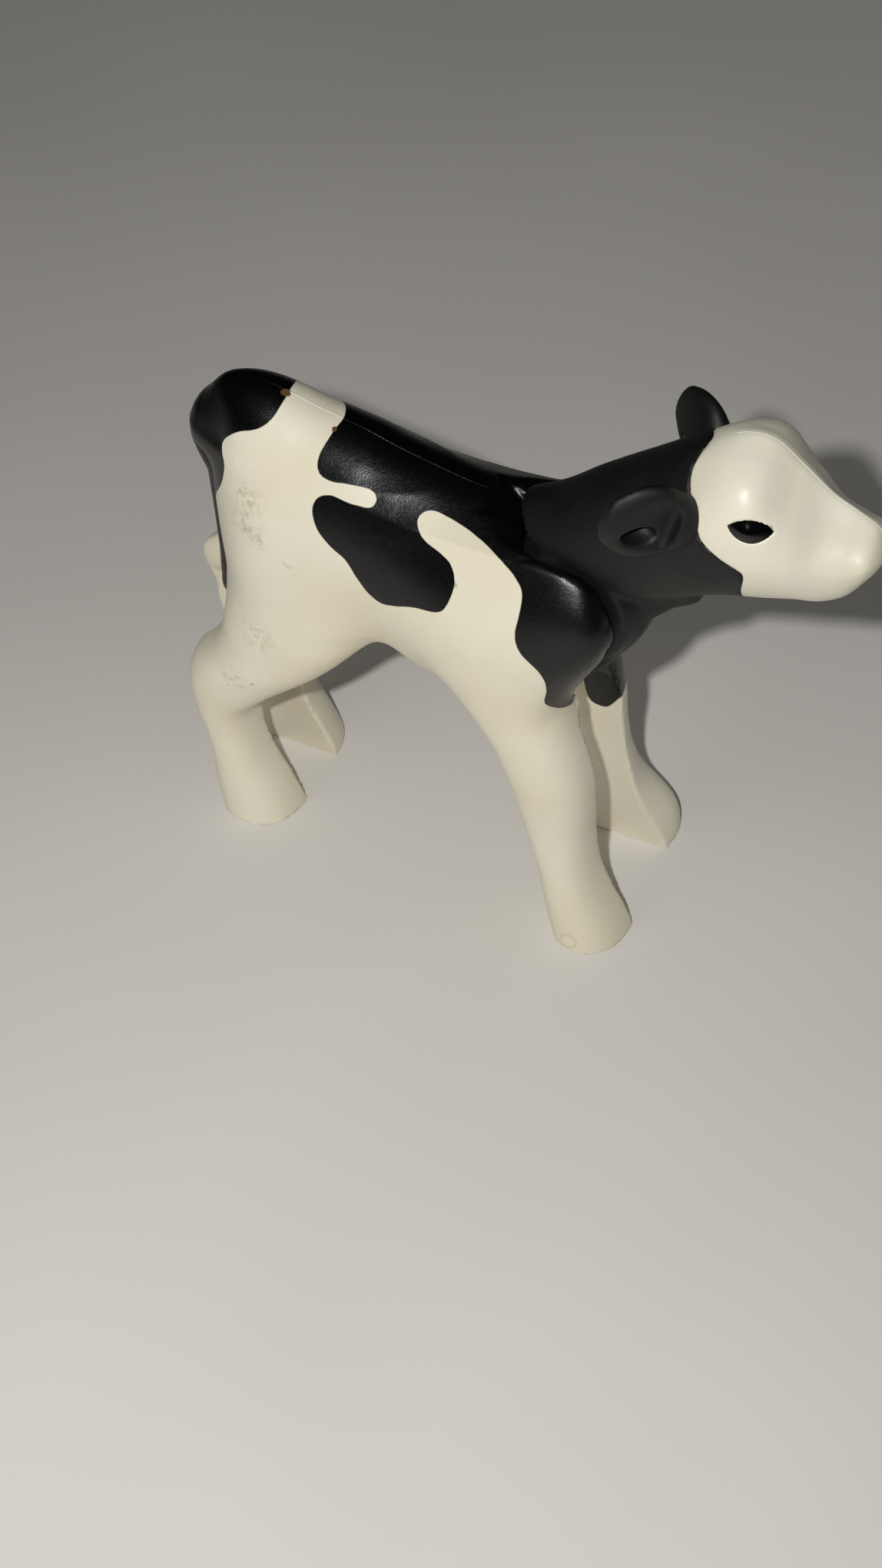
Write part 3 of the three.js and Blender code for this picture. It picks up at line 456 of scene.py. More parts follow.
def head(x, y, z, to_row=last_row):
    """Field of the neck and head up to one of its sections."""
    px, pz = x - pivot_x, z - pivot_z
    row = read_grid(row_grid, head_grid_x, head_grid_z, head_grid_step, px, pz)
    tx, tz, bx, bz, half, narrowing = section_ends(np.clip(row, 0, to_row))
    length = np.hypot(tx - bx, tz - bz)
    along = ((px - bx) * (tx - bx) + (pz - bz) * (tz - bz)) / length - length / 2
    ahead = ((px - bx) * (tz - bz) - (pz - bz) * (tx - bx)) / length
    kept = 1 - narrowing * np.clip(2 * along / length, 0, 1) ** 2
    section = oval(along, y / kept, length / 2, half, 2)
    behind = np.where(row <= row_end, -ahead, far_inside)
    beyond = np.where(row >= to_row - row_end, ahead, behind)
    return np.maximum(section, beyond)


def neck_root(grow, x, y, z):
    """The round root of the neck, drawn in towards its sides."""
    share = np.clip(y / (root_half_width + grow), -1, 1)
    radius = root_radius + grow - root_draft * share**2
    around = np.hypot(x - pivot_x, z - pivot_z) - radius
    return np.maximum(around, np.abs(y) - root_half_width - grow)


def lobes(grow, x, y, z):
    """The round shoulder lobes that the wide neck slides on."""
    return np.maximum(np.hypot(x - pivot_x, z - pivot_z) - lobe_radius + grow,
                      root_half_width + grow - np.abs(y))


def swung(field, degrees, x, y, z):
    """A field turned about the pin, nose up for a positive angle."""
    c, s = math.cos(math.radians(degrees)), math.sin(math.radians(degrees))
    px, pz = x - pivot_x, z - pivot_z
    return field(pivot_x + c * px + s * pz, y, pivot_z - s * px + c * pz)


# %% [markdown]
# ## The pocket between the shoulders
# The neck needs room to nod, so the shoulders are cut by the neck in every position that it
# can take, by its round root, and by slots for its keel and behind the withers.

# %% Field of the pocket
pocket_reach, pocket_half_width, well_outside = 24, 10, 10.0
swing_places = 12


def moving_neck(x, y, z):
    """The part of the neck that sweeps through the shoulders, with room around it."""
    return np.maximum(head(x, y, z, pocket_row) - swing_gap, -lobes(swing_gap, x, y, z))


def pocket(x, y, z):
    """All the room that the neck, its root and its keel need, worked out near it only."""
    near = (np.hypot(x - pivot_x, z - pivot_z) < pocket_reach) & (np.abs(y) < pocket_half_width)
    found = np.full(np.shape(x), well_outside)
    px, py, pz = x[near], y[near], z[near]
    reach = np.hypot(px - pivot_x, pz - pivot_z)
    keel_slot = np.maximum(reach - keel_reach - swing_gap, wedge(px, pz, *slot_turns))
    keel_slot = np.maximum(keel_slot, np.abs(py) - keel_half_width - swing_gap)
    withers = np.maximum(reach - withers_reach, wedge(px, pz, *withers_turns))
    withers = np.maximum(withers, np.abs(py) - withers_half_width)
    room = np.minimum(np.minimum(keel_slot, withers), neck_root(swing_gap, px, py, pz))
    for degrees in np.linspace(-swing_down, swing_up, swing_places):
        room = np.minimum(room, swung(moving_neck, degrees, px, py, pz))
    found[near] = room
    return found


leg_edge_round, pocket_edge_round, sole_edge_round = 0.2, 1.3, 0.2
open_end = 100  # past the calf, so the room between a pair of legs is open there


def body(x, y, z):
    """The whole body: legs set apart, the pocket cut out and the soles flat."""
    hind_room = leg_gap(hind_gap, -open_end, hind_arch_end_x, hind_arch_z, x, y, z)
    fore_room = leg_gap(fore_gap, fore_arch_start_x, open_end, fore_arch_z, x, y, z)
    rooms = np.minimum(hind_room, fore_room)
    shell = larger(skin(x, y, z), -rooms, leg_edge_round)
    shell = larger(shell, -pocket(x, y, z), pocket_edge_round)
    return larger(shell, -z, sole_edge_round)


# %% Mesh the two halves
body_step = 0.36
seam_half_gap = 0.004
seam_reach, seam_least_slope = body_step * 0.7, 0.3
body_low, body_high = np.array((-16, -13, -1.5)), np.array((40, 13, 55))


def right_half(x, y, z):
    return np.maximum(body(x, y, z), y + seam_half_gap)


def left_half(x, y, z):
    return np.maximum(body(x, y, z), seam_half_gap - y)


def crisp_seam(points, side):
    """Puts the points beside the seam exactly on the edge where skin and joint plane meet."""
    plane = side * seam_half_gap
    near = np.abs(points[:, 1] - plane) < seam_reach
    edge = near & (np.abs(body(*points.T)) < seam_reach)
    moved = points[edge].copy()
    moved[:, 1] = plane
    for _ in range(skin_steps):
        here, slope = slope_of(body, moved)
        slope[:, 1] = 0
        steep = np.maximum(np.linalg.norm(slope, axis=1), seam_least_slope)
        moved -= slope * (np.clip(here, -body_step, body_step) / steep**2)[:, None]
    points[edge] = moved
    return points


right_low, right_high = body_low, np.array((body_high[0], 1, body_high[2]))
left_low, left_high = np.array((body_low[0], -1, body_low[2])), body_high
right_points, right_faces = net(right_half, right_low, right_high, body_step)
left_points, left_faces = net(left_half, left_low, left_high, body_step)
right_points, left_points = crisp_seam(right_points, -1), crisp_seam(left_points, 1)

# %% [markdown]
# ## Printed patches
# The black patches are printed on the skin with crisp, smooth outlines. Each outline is drawn
# on the unrolled skin: how far along the calf, and how far down from the ridge of the back,
# with the right side positive. A place inside an outline gets a negative distance, and the
# finish turns black there. A distance stays sharp between mesh points, where a plain yes or
# no would give saw teeth.

# %% Outlines of the patches
rump_patch = [
    (1.1, 0.3), (1.0, 2.0), (0.6, 3.3), (-0.5, 4.5), (-2.5, 5.3), (-4.2, 6.4), (-3.8, 8.6),
    (-4.9, 10.9), (-7.2, 12.2), (-9.4, 13.4), (-13, 15), (-16, 0), (-13, -15), (-8.4, -14.2),
    (-6.6, -12.0), (-4.6, -9.6), (-4.6, -7.0), (-2.8, -5.4), (-0.6, -4.6), (0.5, -2.6),
]
saddle_patch = [
    (6.4, 0.0), (6.2, 1.7), (5.7, 4.4), (6.1, 5.5), (7.3, 5.7), (9.3, 5.2), (10.9, 4.8),
    (11.7, 5.2), (11.5, 6.0), (10.7, 6.4), (9.2, 6.7), (7.5, 6.8), (6.3, 7.5), (5.9, 8.7),
    (6.5, 10.1), (7.9, 11.1), (9.5, 11.7), (10.5, 12.7), (11.8, 13.7), (13.4, 13.9),
    (16.5, 12.6), (19.0, 12.0), (19.9, 11.1), (20.4, 9.3), (19.9, 7.9), (18.8, 7.2),
    (17.1, 6.8), (16.0, 6.0), (15.8, 5.0), (16.6, 4.2), (18.1, 4.1), (20.6, 4.6), (23.1, 5.7),
    (25.7, 7.2), (26.8, 8.4), (26.9, 10.2), (26.8, 12.0), (27.6, 13.4), (29.4, 14.4),
    (29.8, 15.7), (29.5, 17.5), (30.1, 18.3), (30.9, 19.2), (33.0, 20.5), (38, 19), (44, 8),
    (44, -12), (38, -20), (33.2, -23.6), (32.2, -24.9), (31.3, -27.0), (30.4, -28.1),
    (29.0, -28.2), (28.3, -26.0), (27.6, -20.0), (26.4, -16.0), (24.6, -12.6), (21.6, -10.6),
    (19.2, -11.8), (17.0, -14.6), (13.6, -15.6), (10.4, -13.4), (8.6, -10.8), (5.6, -9.6),
    (4.2, -6.6), (4.6, -3.6), (5.8, -1.6),
]


def rounded(outline, per_side=6):
    """A smooth closed line through the points of an outline."""
    at = np.array(outline, float)
    before, after, far = np.roll(at, 1, 0), np.roll(at, -1, 0), np.roll(at, -2, 0)
    bend, twist = 2 * before - 5 * at + 4 * after - far, 3 * at - before - 3 * after + far
    line = [(2 * at + (after - before) * share + bend * share**2 + twist * share**3) / 2
            for share in np.arange(per_side) / per_side]
    return np.stack(line, axis=1).reshape(-1, 2)


def signed_distance(u, v, outline):
    """Distance of places from a closed line, negative inside it."""
    nearest, inside = np.full(u.shape, np.inf), np.zeros(u.shape, bool)
    for (au, av), (bu, bv) in zip(outline, np.roll(outline, -1, 0)):
        du, dv = bu - au, bv - av
        share = np.clip(((u - au) * du + (v - av) * dv) / max(du * du + dv * dv, 1e-9), 0, 1)
        nearest = np.minimum(nearest, np.hypot(u - au - share * du, v - av - share * dv))
        crosses = (av > v) != (bv > v)
        if dv:
            inside ^= crosses & (u < au + du * (v - av) / dv)
    return np.where(inside, -nearest, nearest)


def paint_distance(points):
    """How far each point of the body's skin lies outside the black patches."""
    x, y, z = points.T
    ridge = trunk_at((x - body_rear_x) / body_length)[0] * back_height
    down = -np.sign(y) * np.hypot(ridge - z, y)
    patches = [signed_distance(x, down, rounded(patch)) for patch in (rump_patch, saddle_patch)]
    return np.minimum(*patches)


def add_values(made, name, values):
    """Keeps one number for each point of a mesh, for its finish to read."""
    made.data.attributes.new(name, "FLOAT", "POINT").data.foreach_set("value", values)


# %% Make the two halves of the body
right_skin = piece("right_half_skin", right_points, right_faces)
left_skin = piece("left_half_skin", left_points, left_faces)
add_values(right_skin, "paint", paint_distance(right_points))
add_values(left_skin, "paint", paint_distance(left_points))

# %% [markdown]
# ## Neck, keel and the back of the head
# One black moulding: the neck with its round root, the keel under it, and the back of the
# head, which goes on as a plug inside the white face. Its side outline at the face is the
# same smooth line that the white shell ends in.

# %% Outlines in the upright middle plane
# how far each point lies from the pin, as shares of head_reach and head_rise
face_edge_rows = [
    (0.441, 0.986), (0.400, 0.929), (0.385, 0.881), (0.400, 0.829), (0.426, 0.781),
    (0.444, 0.738), (0.467, 0.681), (0.533, 0.629), (0.589, 0.595), (0.609, 0.557),
    (0.596, 0.429), (0.585, 0.214),
]
# distance from the pin as a share of keel_reach, and direction in quarter turns
keel_rows = [
    (0.42, 0.50), (1.13, 0.232), (0.89, 0.132), (0.70, 0.00), (0.65, -0.16), (0.63, -0.38),
    (0.68, -0.58), (0.84, -0.84), (0.98, -1.00), (0.96, -1.14), (0.45, -1.30),
]
outline_step = 0.1
# The part of the plane that the grids cover
rear_x, front_x, low_z, high_z = 17, 62, 25, 66


def outline_grid(outline):
    """Signed distance from an outline, worked out once on a flat grid of x and z."""
    grid_x = np.arange(rear_x, front_x, outline_step)
    grid_z = np.arange(low_z, high_z, outline_step)
    value = signed_distance(*np.meshgrid(grid_x, grid_z, indexing="ij"), outline)
    return lambda x, z: read_grid(value, grid_x, grid_z, outline_step, x, z)


def line_through(rows, samples):
    """Points on a smooth line through some rows of two numbers."""
    at = follow([(n, *row) for n, row in enumerate(rows)])
    return np.stack(at(np.linspace(0, len(rows) - 1, samples)), axis=1)


edge_line = line_through(face_edge_rows, 90) * (head_reach, head_rise) + (pivot_x, pivot_z)
face_outline = [(edge_line[0][0], high_z), *edge_line, (edge_line[-1][0], low_z),
                (front_x, low_z), (front_x, high_z)]
face_side = outline_grid(np.vstack(face_outline))
keel_line = line_through(keel_rows, 80)
keel_turns = keel_line[:, 1] * math.pi / 2
keel_ways = np.stack([np.cos(keel_turns), np.sin(keel_turns)], axis=1)
keel_side = outline_grid(keel_ways * keel_line[:, :1] * keel_reach + (pivot_x, pivot_z))
print("face edge", len(edge_line), "points, keel", len(keel_line), "points")

# %% Field of the black core
plug_gap, plug_start_x, bore_radius, lobe_gap = 0.03, 43, 1.8, 0.12
keel_edge_round, root_blend, keel_blend, core_edge_round = 0.9, 0.6, 0.8, 0.1


def keel(x, y, z):
    """The flat keel under the neck, round at its edges."""
    return larger(keel_side(x, z), np.abs(y) - keel_half_width, keel_edge_round)


def core(x, y, z):
    """The neck with root and keel, and the plug that fills the face, bored for the pin."""
    whole = head(x, y, z)
    neck = np.maximum(whole, -lobes(lobe_gap, x, y, z))
    neck = smaller(neck, neck_root(0, x, y, z), root_blend)
    neck = smaller(neck, keel(x, y, z), keel_blend)
    outer = larger(neck, plug_gap - face_side(x, z), core_edge_round)
    plug = np.maximum(whole + face_wall + plug_gap, plug_start_x - x)
    bore = bore_radius - np.hypot(x - pivot_x, z - pivot_z)
    return np.maximum(np.minimum(outer, plug), bore)


# %% [markdown]
# ## The white face
# The face is a shell that is pushed over the plug. The real one isn't a plain oval: it has
# a straight ridge down the nose with a shallow hollow on each side, a brow that swells over
# the eye, and a full muzzle. Each of these is a soft rise or dip added to the field. The
# eyes sit in almond holes, a little below the face, and each has a small dome of its own.

# %% Field of the face
face_forms = [  # place, radius and height in mm, positive heights swell out
    ((44.7, 4.9, 58.0), 2.3, 0.45),
    ((53.6, 3.9, 53.8), 2.4, 0.40),
    ((48.2, 3.2, 58.0), 2.2, -0.35),
    ((51.6, 2.6, 56.2), 2.2, -0.30),
    ((49.5, 5.4, 52.8), 2.6, 0.20),
]
ridge_height, ridge_half_width = 0.30, 1.0
ridge_x, ridge_z = (41, 4), (53.5, 3)  # where the ridge begins, and how far it takes to rise
face_edge_round, eye_hole_round = 0.15, 0.18
nose_x, nose_round = pivot_x + 0.992 * head_reach, 1.6
eye_length, eye_height, eye_tilt = 3.6, 1.9, -0.06
eye_x, eye_z = pivot_x + 0.61 * head_reach, pivot_z + 0.785 * head_rise
eye_sink, eye_bulge, eye_bulge_x, eye_bulge_z = 0.16, 0.45, 1.3, 0.75
eye_overlap, eye_edge_round, eye_depth, eye_inner_y = 0.25, 0.2, 1.6, 2


def relief(x, y, z):
    """How far the face swells out of the plain oval form."""
    rise = np.zeros(np.shape(x))
    for (fx, fy, fz), radius, height in face_forms:
        away = (x - fx) ** 2 + (np.abs(y) - fy) ** 2 + (z - fz) ** 2
        rise = rise + height * np.exp(-away / radius**2)
    (from_x, over_x), (from_z, over_z) = ridge_x, ridge_z
    on_ridge = smooth_step((z - from_z) / over_z) * smooth_step((x - from_x) / over_x)
    return rise + ridge_height * on_ridge * np.exp(-((y / ridge_half_width) ** 2))


def eye_side(x, z, grow=0):
    """Distance from the almond of an eye, two arcs that meet in points."""
    u = (x - eye_x) / (eye_length / 2 + grow)
    v = z - eye_z - eye_tilt * (x - eye_x)
    arc = (eye_height / 2 + grow) * (1 - u * u)
    lean = np.sqrt(1 + (2 * u * (eye_height / eye_length)) ** 2)
    return (np.abs(v) - arc) / lean


def face(x, y, z):
    """The white shell: an even wall that ends at the face's edge, with an eye hole each side."""
    whole = larger(head(x, y, z) - relief(x, y, z), x - nose_x, nose_round)
    shell = larger(whole, face_side(x, z), face_edge_round)
    shell = np.maximum(shell, -(whole + face_wall))
    return larger(shell, -eye_side(x, z), eye_hole_round)


def eye(x, y, z):
    """Both eyes: domed almonds that reach a little under the shell."""
    away = ((x - eye_x) / eye_bulge_x) ** 2 + ((z - eye_z) / eye_bulge_z) ** 2
    ball = head(x, y, z) - relief(x, y, z) + eye_sink - eye_bulge * np.exp(-away)
    ball = larger(ball, eye_side(x, z, eye_overlap), eye_edge_round)
    return np.maximum(ball, -(ball + eye_depth))


# %% Mesh the core, the face and the eyes
core_step, face_step, eye_step = ((0.32, 0.17, 0.12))


def right_eye(x, y, z):
    return np.maximum(eye(x, y, z), y + eye_inner_y)


def left_eye(x, y, z):
    return np.maximum(eye(x, y, z), eye_inner_y - y)


core_skin = meshed("neck_and_head_skin", core, (20, -8, 27), (55, 8, 62), core_step)
face_skin = meshed("face_skin", face, (38, -7.6, 43), (58, 7.6, 62), face_step)
right_eye_skin = meshed("right_eye_bead", right_eye, (43, -7.5, 54), (49, -1, 58), eye_step)
left_eye_skin = meshed("left_eye_bead", left_eye, (43, 1, 54), (49, 7.5, 58), eye_step)

# %% [markdown]
# ## The ears
# Each ear is a cupped leaf: narrow where it leaves the head, widest at half its length,
# and hollowed on its lower front side. It is a row of ovals along its own line, less a
# smaller row of ovals pushed towards the open side. A deeper pit lies low in the hollow.

# %% Field of an ear
ear_length, ear_width, ear_thickness, ear_wall, ear_hollow_push = 7.2, 7.6, 3.4, 0.7, 1.3
ear_least_half, ear_end_round, ear_lip_round, ear_sink = 0.2, 0.8, 0.35, 1.2
cup_shares, hollow_shares = (-0.4, 1), (0.10, 0.90)
ear_pit, ear_pit_radii, ear_pit_round = (3.4, -1.2, 1.0), (1.7, 0.95, 2.1), 0.3
ear_aim, ear_lean = np.array((-5.2, 4.4, 1.9)), 0.12
ear_place_shares, left_ear_shift = (0.385, 0.8, 0.71), (-0.1, 0, -1.5)
ear_low, ear_high = (-10, -7.5, -7), (6, 7.5, 9)  # the box round an ear, from its base
# share of ear_length, then shares of ear_width and ear_thickness
ear_rows = [(-0.5, 0.30, 0.8), (-0.12, 0.62, 1.00), (0.10, 0.80, 1.00), (0.35, 0.98, 0.88),
            (0.60, 0.94, 0.70), (0.82, 0.70, 0.52), (0.95, 0.42, 0.36), (1.00, 0.16, 0.16)]
ear_at = follow(ear_rows)


def unit(way):
    return way / np.linalg.norm(way)


def ear_field(side):
    """The field of one ear, and the place where the ear leaves the head."""
    along = unit(ear_aim * (1, side, 1))
    across = np.array((ear_lean, 0, 1.0))
    across = unit(across - along * across.dot(along))
    opening = np.cross(along, across) * side
    base = np.array((pivot_x + ear_place_shares[0] * head_reach,
                     side * ear_place_shares[1] * head_half_width,
                     pivot_z + ear_place_shares[2] * head_rise))
    if side > 0:
        base = base + left_ear_shift

    def leaf(u, v, w, draw_in, from_share, to_share):
        width, thickness = ear_at(u / ear_length)
        half_width = np.maximum(width * ear_width / 2 - draw_in, ear_least_half)
        half_thickness = np.maximum(thickness * ear_thickness / 2 - draw_in, ear_least_half)
        ends = np.maximum(from_share * ear_length - u, u - to_share * ear_length)
        return larger(oval(v, w, half_width, half_thickness, 2), ends, ear_end_round)

    def field(x, y, z):
        d = (x - base[0], y - base[1], z - base[2])
        u, v, w = (sum(d[k] * axis[k] for k in range(3)) for axis in (along, across, opening))
        cup = leaf(u, v, w, 0, *cup_shares)
        hollow = leaf(u, v, w - ear_hollow_push, ear_wall, *hollow_shares)
        pit = np.sqrt(sum(((place - middle) / radius) ** 2
                          for place, middle, radius in zip((u, v, w), ear_pit, ear_pit_radii)))
        hollow = smaller(hollow, (pit - 1) * min(ear_pit_radii), ear_pit_round)
        return np.maximum(larger(cup, -hollow, ear_lip_round), -(head(x, y, z) + ear_sink))

    return field, base


ear_step, ears = 0.2, []
for side, name in ((-1, "right_ear_leaf"), (1, "left_ear_leaf")):
    field, base = ear_field(side)
    ears.append(meshed(name, field, base + ear_low, base + ear_high, ear_step))

# %% [markdown]
# ## The tail
# The tail is a thin ridge down the middle of the rump that ends in a small brush. It is
# a row of ovals too, each as deep and as wide as the CAD model's.

# %% Field of the tail
tail_top_z, tail_length, tail_width, tail_depth = 46.5, 22, 3.2, 3
# share of tail_length, rear as a share of tail_depth, then shares of tail_width and tail_depth
tail_rows = [
    (0.000, 0.667, 0.41, 0.90), (0.066, 0.767, 0.50, 1.00), (0.133, 0.667, 0.50, 1.00),
    (0.200, 0.517, 0.44, 0.90), (0.260, 0.400, 0.34, 0.78), (0.376, 0.383, 0.25, 0.70),
    (0.553, 0.380, 0.19, 0.78), (0.730, 0.385, 0.20, 0.84), (0.885, 0.440, 0.27, 1.00),
    (0.973, 0.430, 0.27, 0.95), (1.000, 0.300, 0.13, 0.50),
]
tail_at = follow(tail_rows)
tail_power, tail_end_round, tail_step = 1.7, 0.7, 0.15


def tail(x, y, z):
    """A row of ovals down the rump."""
    spot = (tail_top_z - z) / tail_length
    rear, half_width, depth = tail_at(spot)
    half_depth = depth * tail_depth / 2
    middle = body_rear_x - rear * tail_depth + half_depth
    section = oval(x - middle, y, half_depth, half_width * tail_width, tail_power)
    return larger(section, past(tail_rows, spot) * tail_length, tail_end_round)


tail_skin = meshed("tail_ridge", tail, (-13, -3, 22), (-4, 3, 48.5), tail_step)

# %% [markdown]
# ## Finishes
# The body, face, neck and ears are ABS: a hard moulding plastic with a satin skin. White
# ABS yellows a little with age, so it is ivory here. A picture could be wrapped round each
# piece, but patterns made of noise need none, and their sizes can be given in millimetres
# on the toy. Each colour is written as it is seen, in sRGB, and one function turns it into
# the linear numbers that Blender mixes light with.

# %% Colours and nodes


def linear(hex_colour):
    """An sRGB colour as the linear numbers of red, green and blue, and a 1."""
    parts = [int(hex_colour[k:k + 2], 16) / 255 for k in (1, 3, 5)]
    return (*[p / 12.92 if p <= 0.04045 else ((p + 0.055) / 1.055) ** 2.4 for p in parts], 1)


def add(tree, kind, inputs=None, output=0, **settings):
    """Adds a node with its settings and links, and gives back one of its outputs."""
    made = tree.nodes.new(kind)
    for key, value in settings.items():
        setattr(made, key, value)
    for key, value in (inputs or {}).items():
        if isinstance(value, bpy.types.NodeSocket):
            tree.links.new(value, made.inputs[key])
        else:
            made.inputs[key].default_value = value
    return made.outputs[output] if made.outputs else None


def empty_material(name):
    """A new material, its empty tree, and the places on the model in millimetres."""
    material = bpy.data.materials.new(name)
    material.use_nodes = True
    tree = material.node_tree
    tree.nodes.clear()
    place = add(tree, "ShaderNodeTexCoord", output="Object")
    places = add(tree, "ShaderNodeVectorMath", {0: place, "Scale": 1 / MM}, operation="SCALE")
    return material, tree, places


def end_material(material, tree, colour, rough, height=0):
    """Links a colour, a roughness and a height in millimetres to the shader."""
    bump = add(tree, "ShaderNodeBump", {"Strength": 1.0, "Distance": MM, "Height": height})
    shader = add(tree, "ShaderNodeBsdfPrincipled", {
        "Base Color": colour, "Roughness": rough, "Normal": bump})
    add(tree, "ShaderNodeOutputMaterial", {"Surface": shader})
    print("material", material.name, len(tree.nodes), "nodes")


# %% Patterns that the finishes share
# Spans are a lowest and a highest value.
whole_span = (0, 1)


def cloudy(tree, places, size_mm, span, spread_to=whole_span, detail=2, rough=0.5):
    """Noise with blotches of a size: one span of its values is spread over another."""
    noise = add(tree, "ShaderNodeTexNoise", {
        "Vector": places, "Scale": 1 / size_mm, "Detail": detail, "Roughness": rough})
    return add(tree, "ShaderNodeMapRange", {
        "Value": noise, "From Min": span[0], "From Max": span[1],
        "To Min": spread_to[0], "To Max": spread_to[1]})


def two_tones(tree, places, size_mm, first, second, span=(0.35, 0.65)):
    """A colour that drifts between two tones in clouds of a size."""
    share = cloudy(tree, places, size_mm, span)
    tones = {0: share, 6: linear(first), 7: linear(second)}
    return add(tree, "ShaderNodeMix", tones, 2, data_type="RGBA")


def stained(tree, ground, cover, tint, strength=1):
    """Lays a tint on a ground, as much as the cover says at each place."""
    share = add(tree, "ShaderNodeMath", {0: cover, 1: strength}, operation="MULTIPLY")
    layers = {0: share, 6: ground, 7: linear(tint)}
    return add(tree, "ShaderNodeMix", layers, 2, data_type="RGBA")


# %% [markdown]
# ## The ivory body
# The halves are ABS moulded in ivory. That gives the eye a warm white, a little uneven, with
# broad soft highlights. The black is a thin film of printed ink: it is smoother than the
# plastic, so it mirrors more, and it stands a few hundredths of a millimetre proud. Its grain
# is finer on the toy; it is drawn a sixth of a millimetre wide, so that it shows. A farm toy
# also lives on floors: grime stays on the hip and hock, and ink has chipped from the back.

# %% Places of the marks of play
# Each is a place in the shape's millimetres with a radius.
grime_spots = [((-0.8, -6.4, 44.0), 2.4), ((-0.9, -6.7, 41.4), 2.6), ((-0.7, -8.3, 28.2), 2.6),
               ((-3.7, -8.6, 21.3), 2.0), ((3.4, -7.1, 38.2), 0.9), ((0.2, -6.9, 40.1), 1.6)]
speck_spots = [((3.4, -7.1, 38.2), 0.3), ((20.4, -7.6, 42.2), 0.45), ((-8.0, -2.3, 46.0), 0.4),
               ((-2.6, -8.8, 20.2), 0.3), ((-1.5, -8.6, 21.8), 0.22)]
chip_spots = [((0.9, -0.35, 52.1), 0.85), ((6.2, -1.5, 50.8), 0.5)]
rubbed_spots = [((27.5, -6.0, 46.5), 5.0), ((31.0, -6.6, 43.0), 4.0)]
# A faint ring on the near fore hoof, with the half widths at which it ends and is full
scuff_place, scuff_radius, scuff_edge, scuff_core = (33.4, -10.6, 1.2), 0.85, 0.16, 0.05
speck_edge, speck_core = 0.9, 0.5  # as shares of a speck's radius
grime_brown, chip_brown, ink_black = "#8a7a58", "#6a4a32", "#050506"
grime_strength, scuff_strength, speck_strength = 0.8, 0.2, 0.7


def near_any(tree, places, spots, edge=1, core=0):
    """1 at the core of each spot, falling to 0 at its edge, both as shares of its radius."""
    found = 0
    for centre, radius in spots:
        ends = {0: places, 1: Vector(centre) + shift}
        away = add(tree, "ShaderNodeVectorMath", ends, "Value", operation="DISTANCE")
        here = add(tree, "ShaderNodeMapRange", {
            "Value": away, "From Min": edge * radius, "From Max": core * radius})
        found = add(tree, "ShaderNodeMath", {0: found, 1: here}, operation="MAXIMUM")
    return found


# %% Ivory plastic with grime, specks and a scuff
ivory_abs, tree, places = empty_material("moulded_ivory_abs")
ground = two_tones(tree, places, 9, "#e8e2cd", "#e3dbc1")
blotches = cloudy(tree, places, 0.8, (0.46, 0.72), detail=3, rough=0.8)
grime = near_any(tree, places, grime_spots)
grime = add(tree, "ShaderNodeMath", {0: grime, 1: blotches}, operation="MULTIPLY")
ground = stained(tree, ground, grime, grime_brown, grime_strength)
ends = {0: places, 1: Vector(scuff_place) + shift}
off_scuff = add(tree, "ShaderNodeVectorMath", ends, "Value", operation="DISTANCE")
off_scuff = add(tree, "ShaderNodeMath", {0: off_scuff, 1: scuff_radius}, operation="SUBTRACT")
off_scuff = add(tree, "ShaderNodeMath", {0: off_scuff}, operation="ABSOLUTE")
scuff = add(tree, "ShaderNodeMapRange", {
    "Value": off_scuff, "From Min": scuff_edge, "From Max": scuff_core})
ground = stained(tree, ground, scuff, grime_brown, scuff_strength)
specks = near_any(tree, places, speck_spots, speck_edge, speck_core)
ground = stained(tree, ground, specks, grime_brown, speck_strength)

# %% Printed ink and its chips
ink_edge, ink_waver = 0.035, 0.06  # how soft the edge is, and how far it wanders
distance = add(tree, "ShaderNodeAttribute", output="Fac", attribute_name="paint")
waver = cloudy(tree, places, 1.6, whole_span, (-ink_waver, ink_waver))
distance = add(tree, "ShaderNodeMath", {0: distance, 1: waver}, operation="ADD")
printed = add(tree, "ShaderNodeMapRange", {
    "Value": distance, "From Min": ink_edge, "From Max": -ink_edge})
colour = stained(tree, ground, printed, ink_black)
ragged = cloudy(tree, places, 0.7, whole_span, (0, 0.9), rough=0.7)
chips = near_any(tree, places, chip_spots)
chips = add(tree, "ShaderNodeMath", {0: chips, 1: ragged}, operation="ADD")
chipped = add(tree, "ShaderNodeMapRange", {"Value": chips, "From Min": 0.90, "From Max": 0.96})
colour = stained(tree, colour, chipped, chip_brown)

# %% Gloss and grain of the body
# Hands have rubbed the ink on the shoulder duller.
rubbed_duller, grain_height, wave_height, ink_height = 0.08, 0.02, 0.05, 0.03
ivory_rough = cloudy(tree, places, 3.0, (0.3, 0.7), (0.40, 0.50))
ink_rough = cloudy(tree, places, 0.25, (0.35, 0.65), (0.27, 0.35), rough=0.6)
rubbed = near_any(tree, places, rubbed_spots)
ink_rough = add(tree, "ShaderNodeMath", {0: rubbed, 1: rubbed_duller, 2: ink_rough},
                operation="MULTIPLY_ADD")
rough = add(tree, "ShaderNodeMix", {0: printed, 2: ivory_rough, 3: ink_rough})
grain = cloudy(tree, places, 0.16, whole_span, (0, grain_height), rough=0.6)
waves = cloudy(tree, places, 2.2, whole_span, (0, wave_height))
uneven = add(tree, "ShaderNodeMath", {0: grain, 1: waves}, operation="ADD")
height = add(tree, "ShaderNodeMath", {0: printed, 1: ink_height, 2: uneven},
             operation="MULTIPLY_ADD")
end_material(ivory_abs, tree, colour, rough, height)

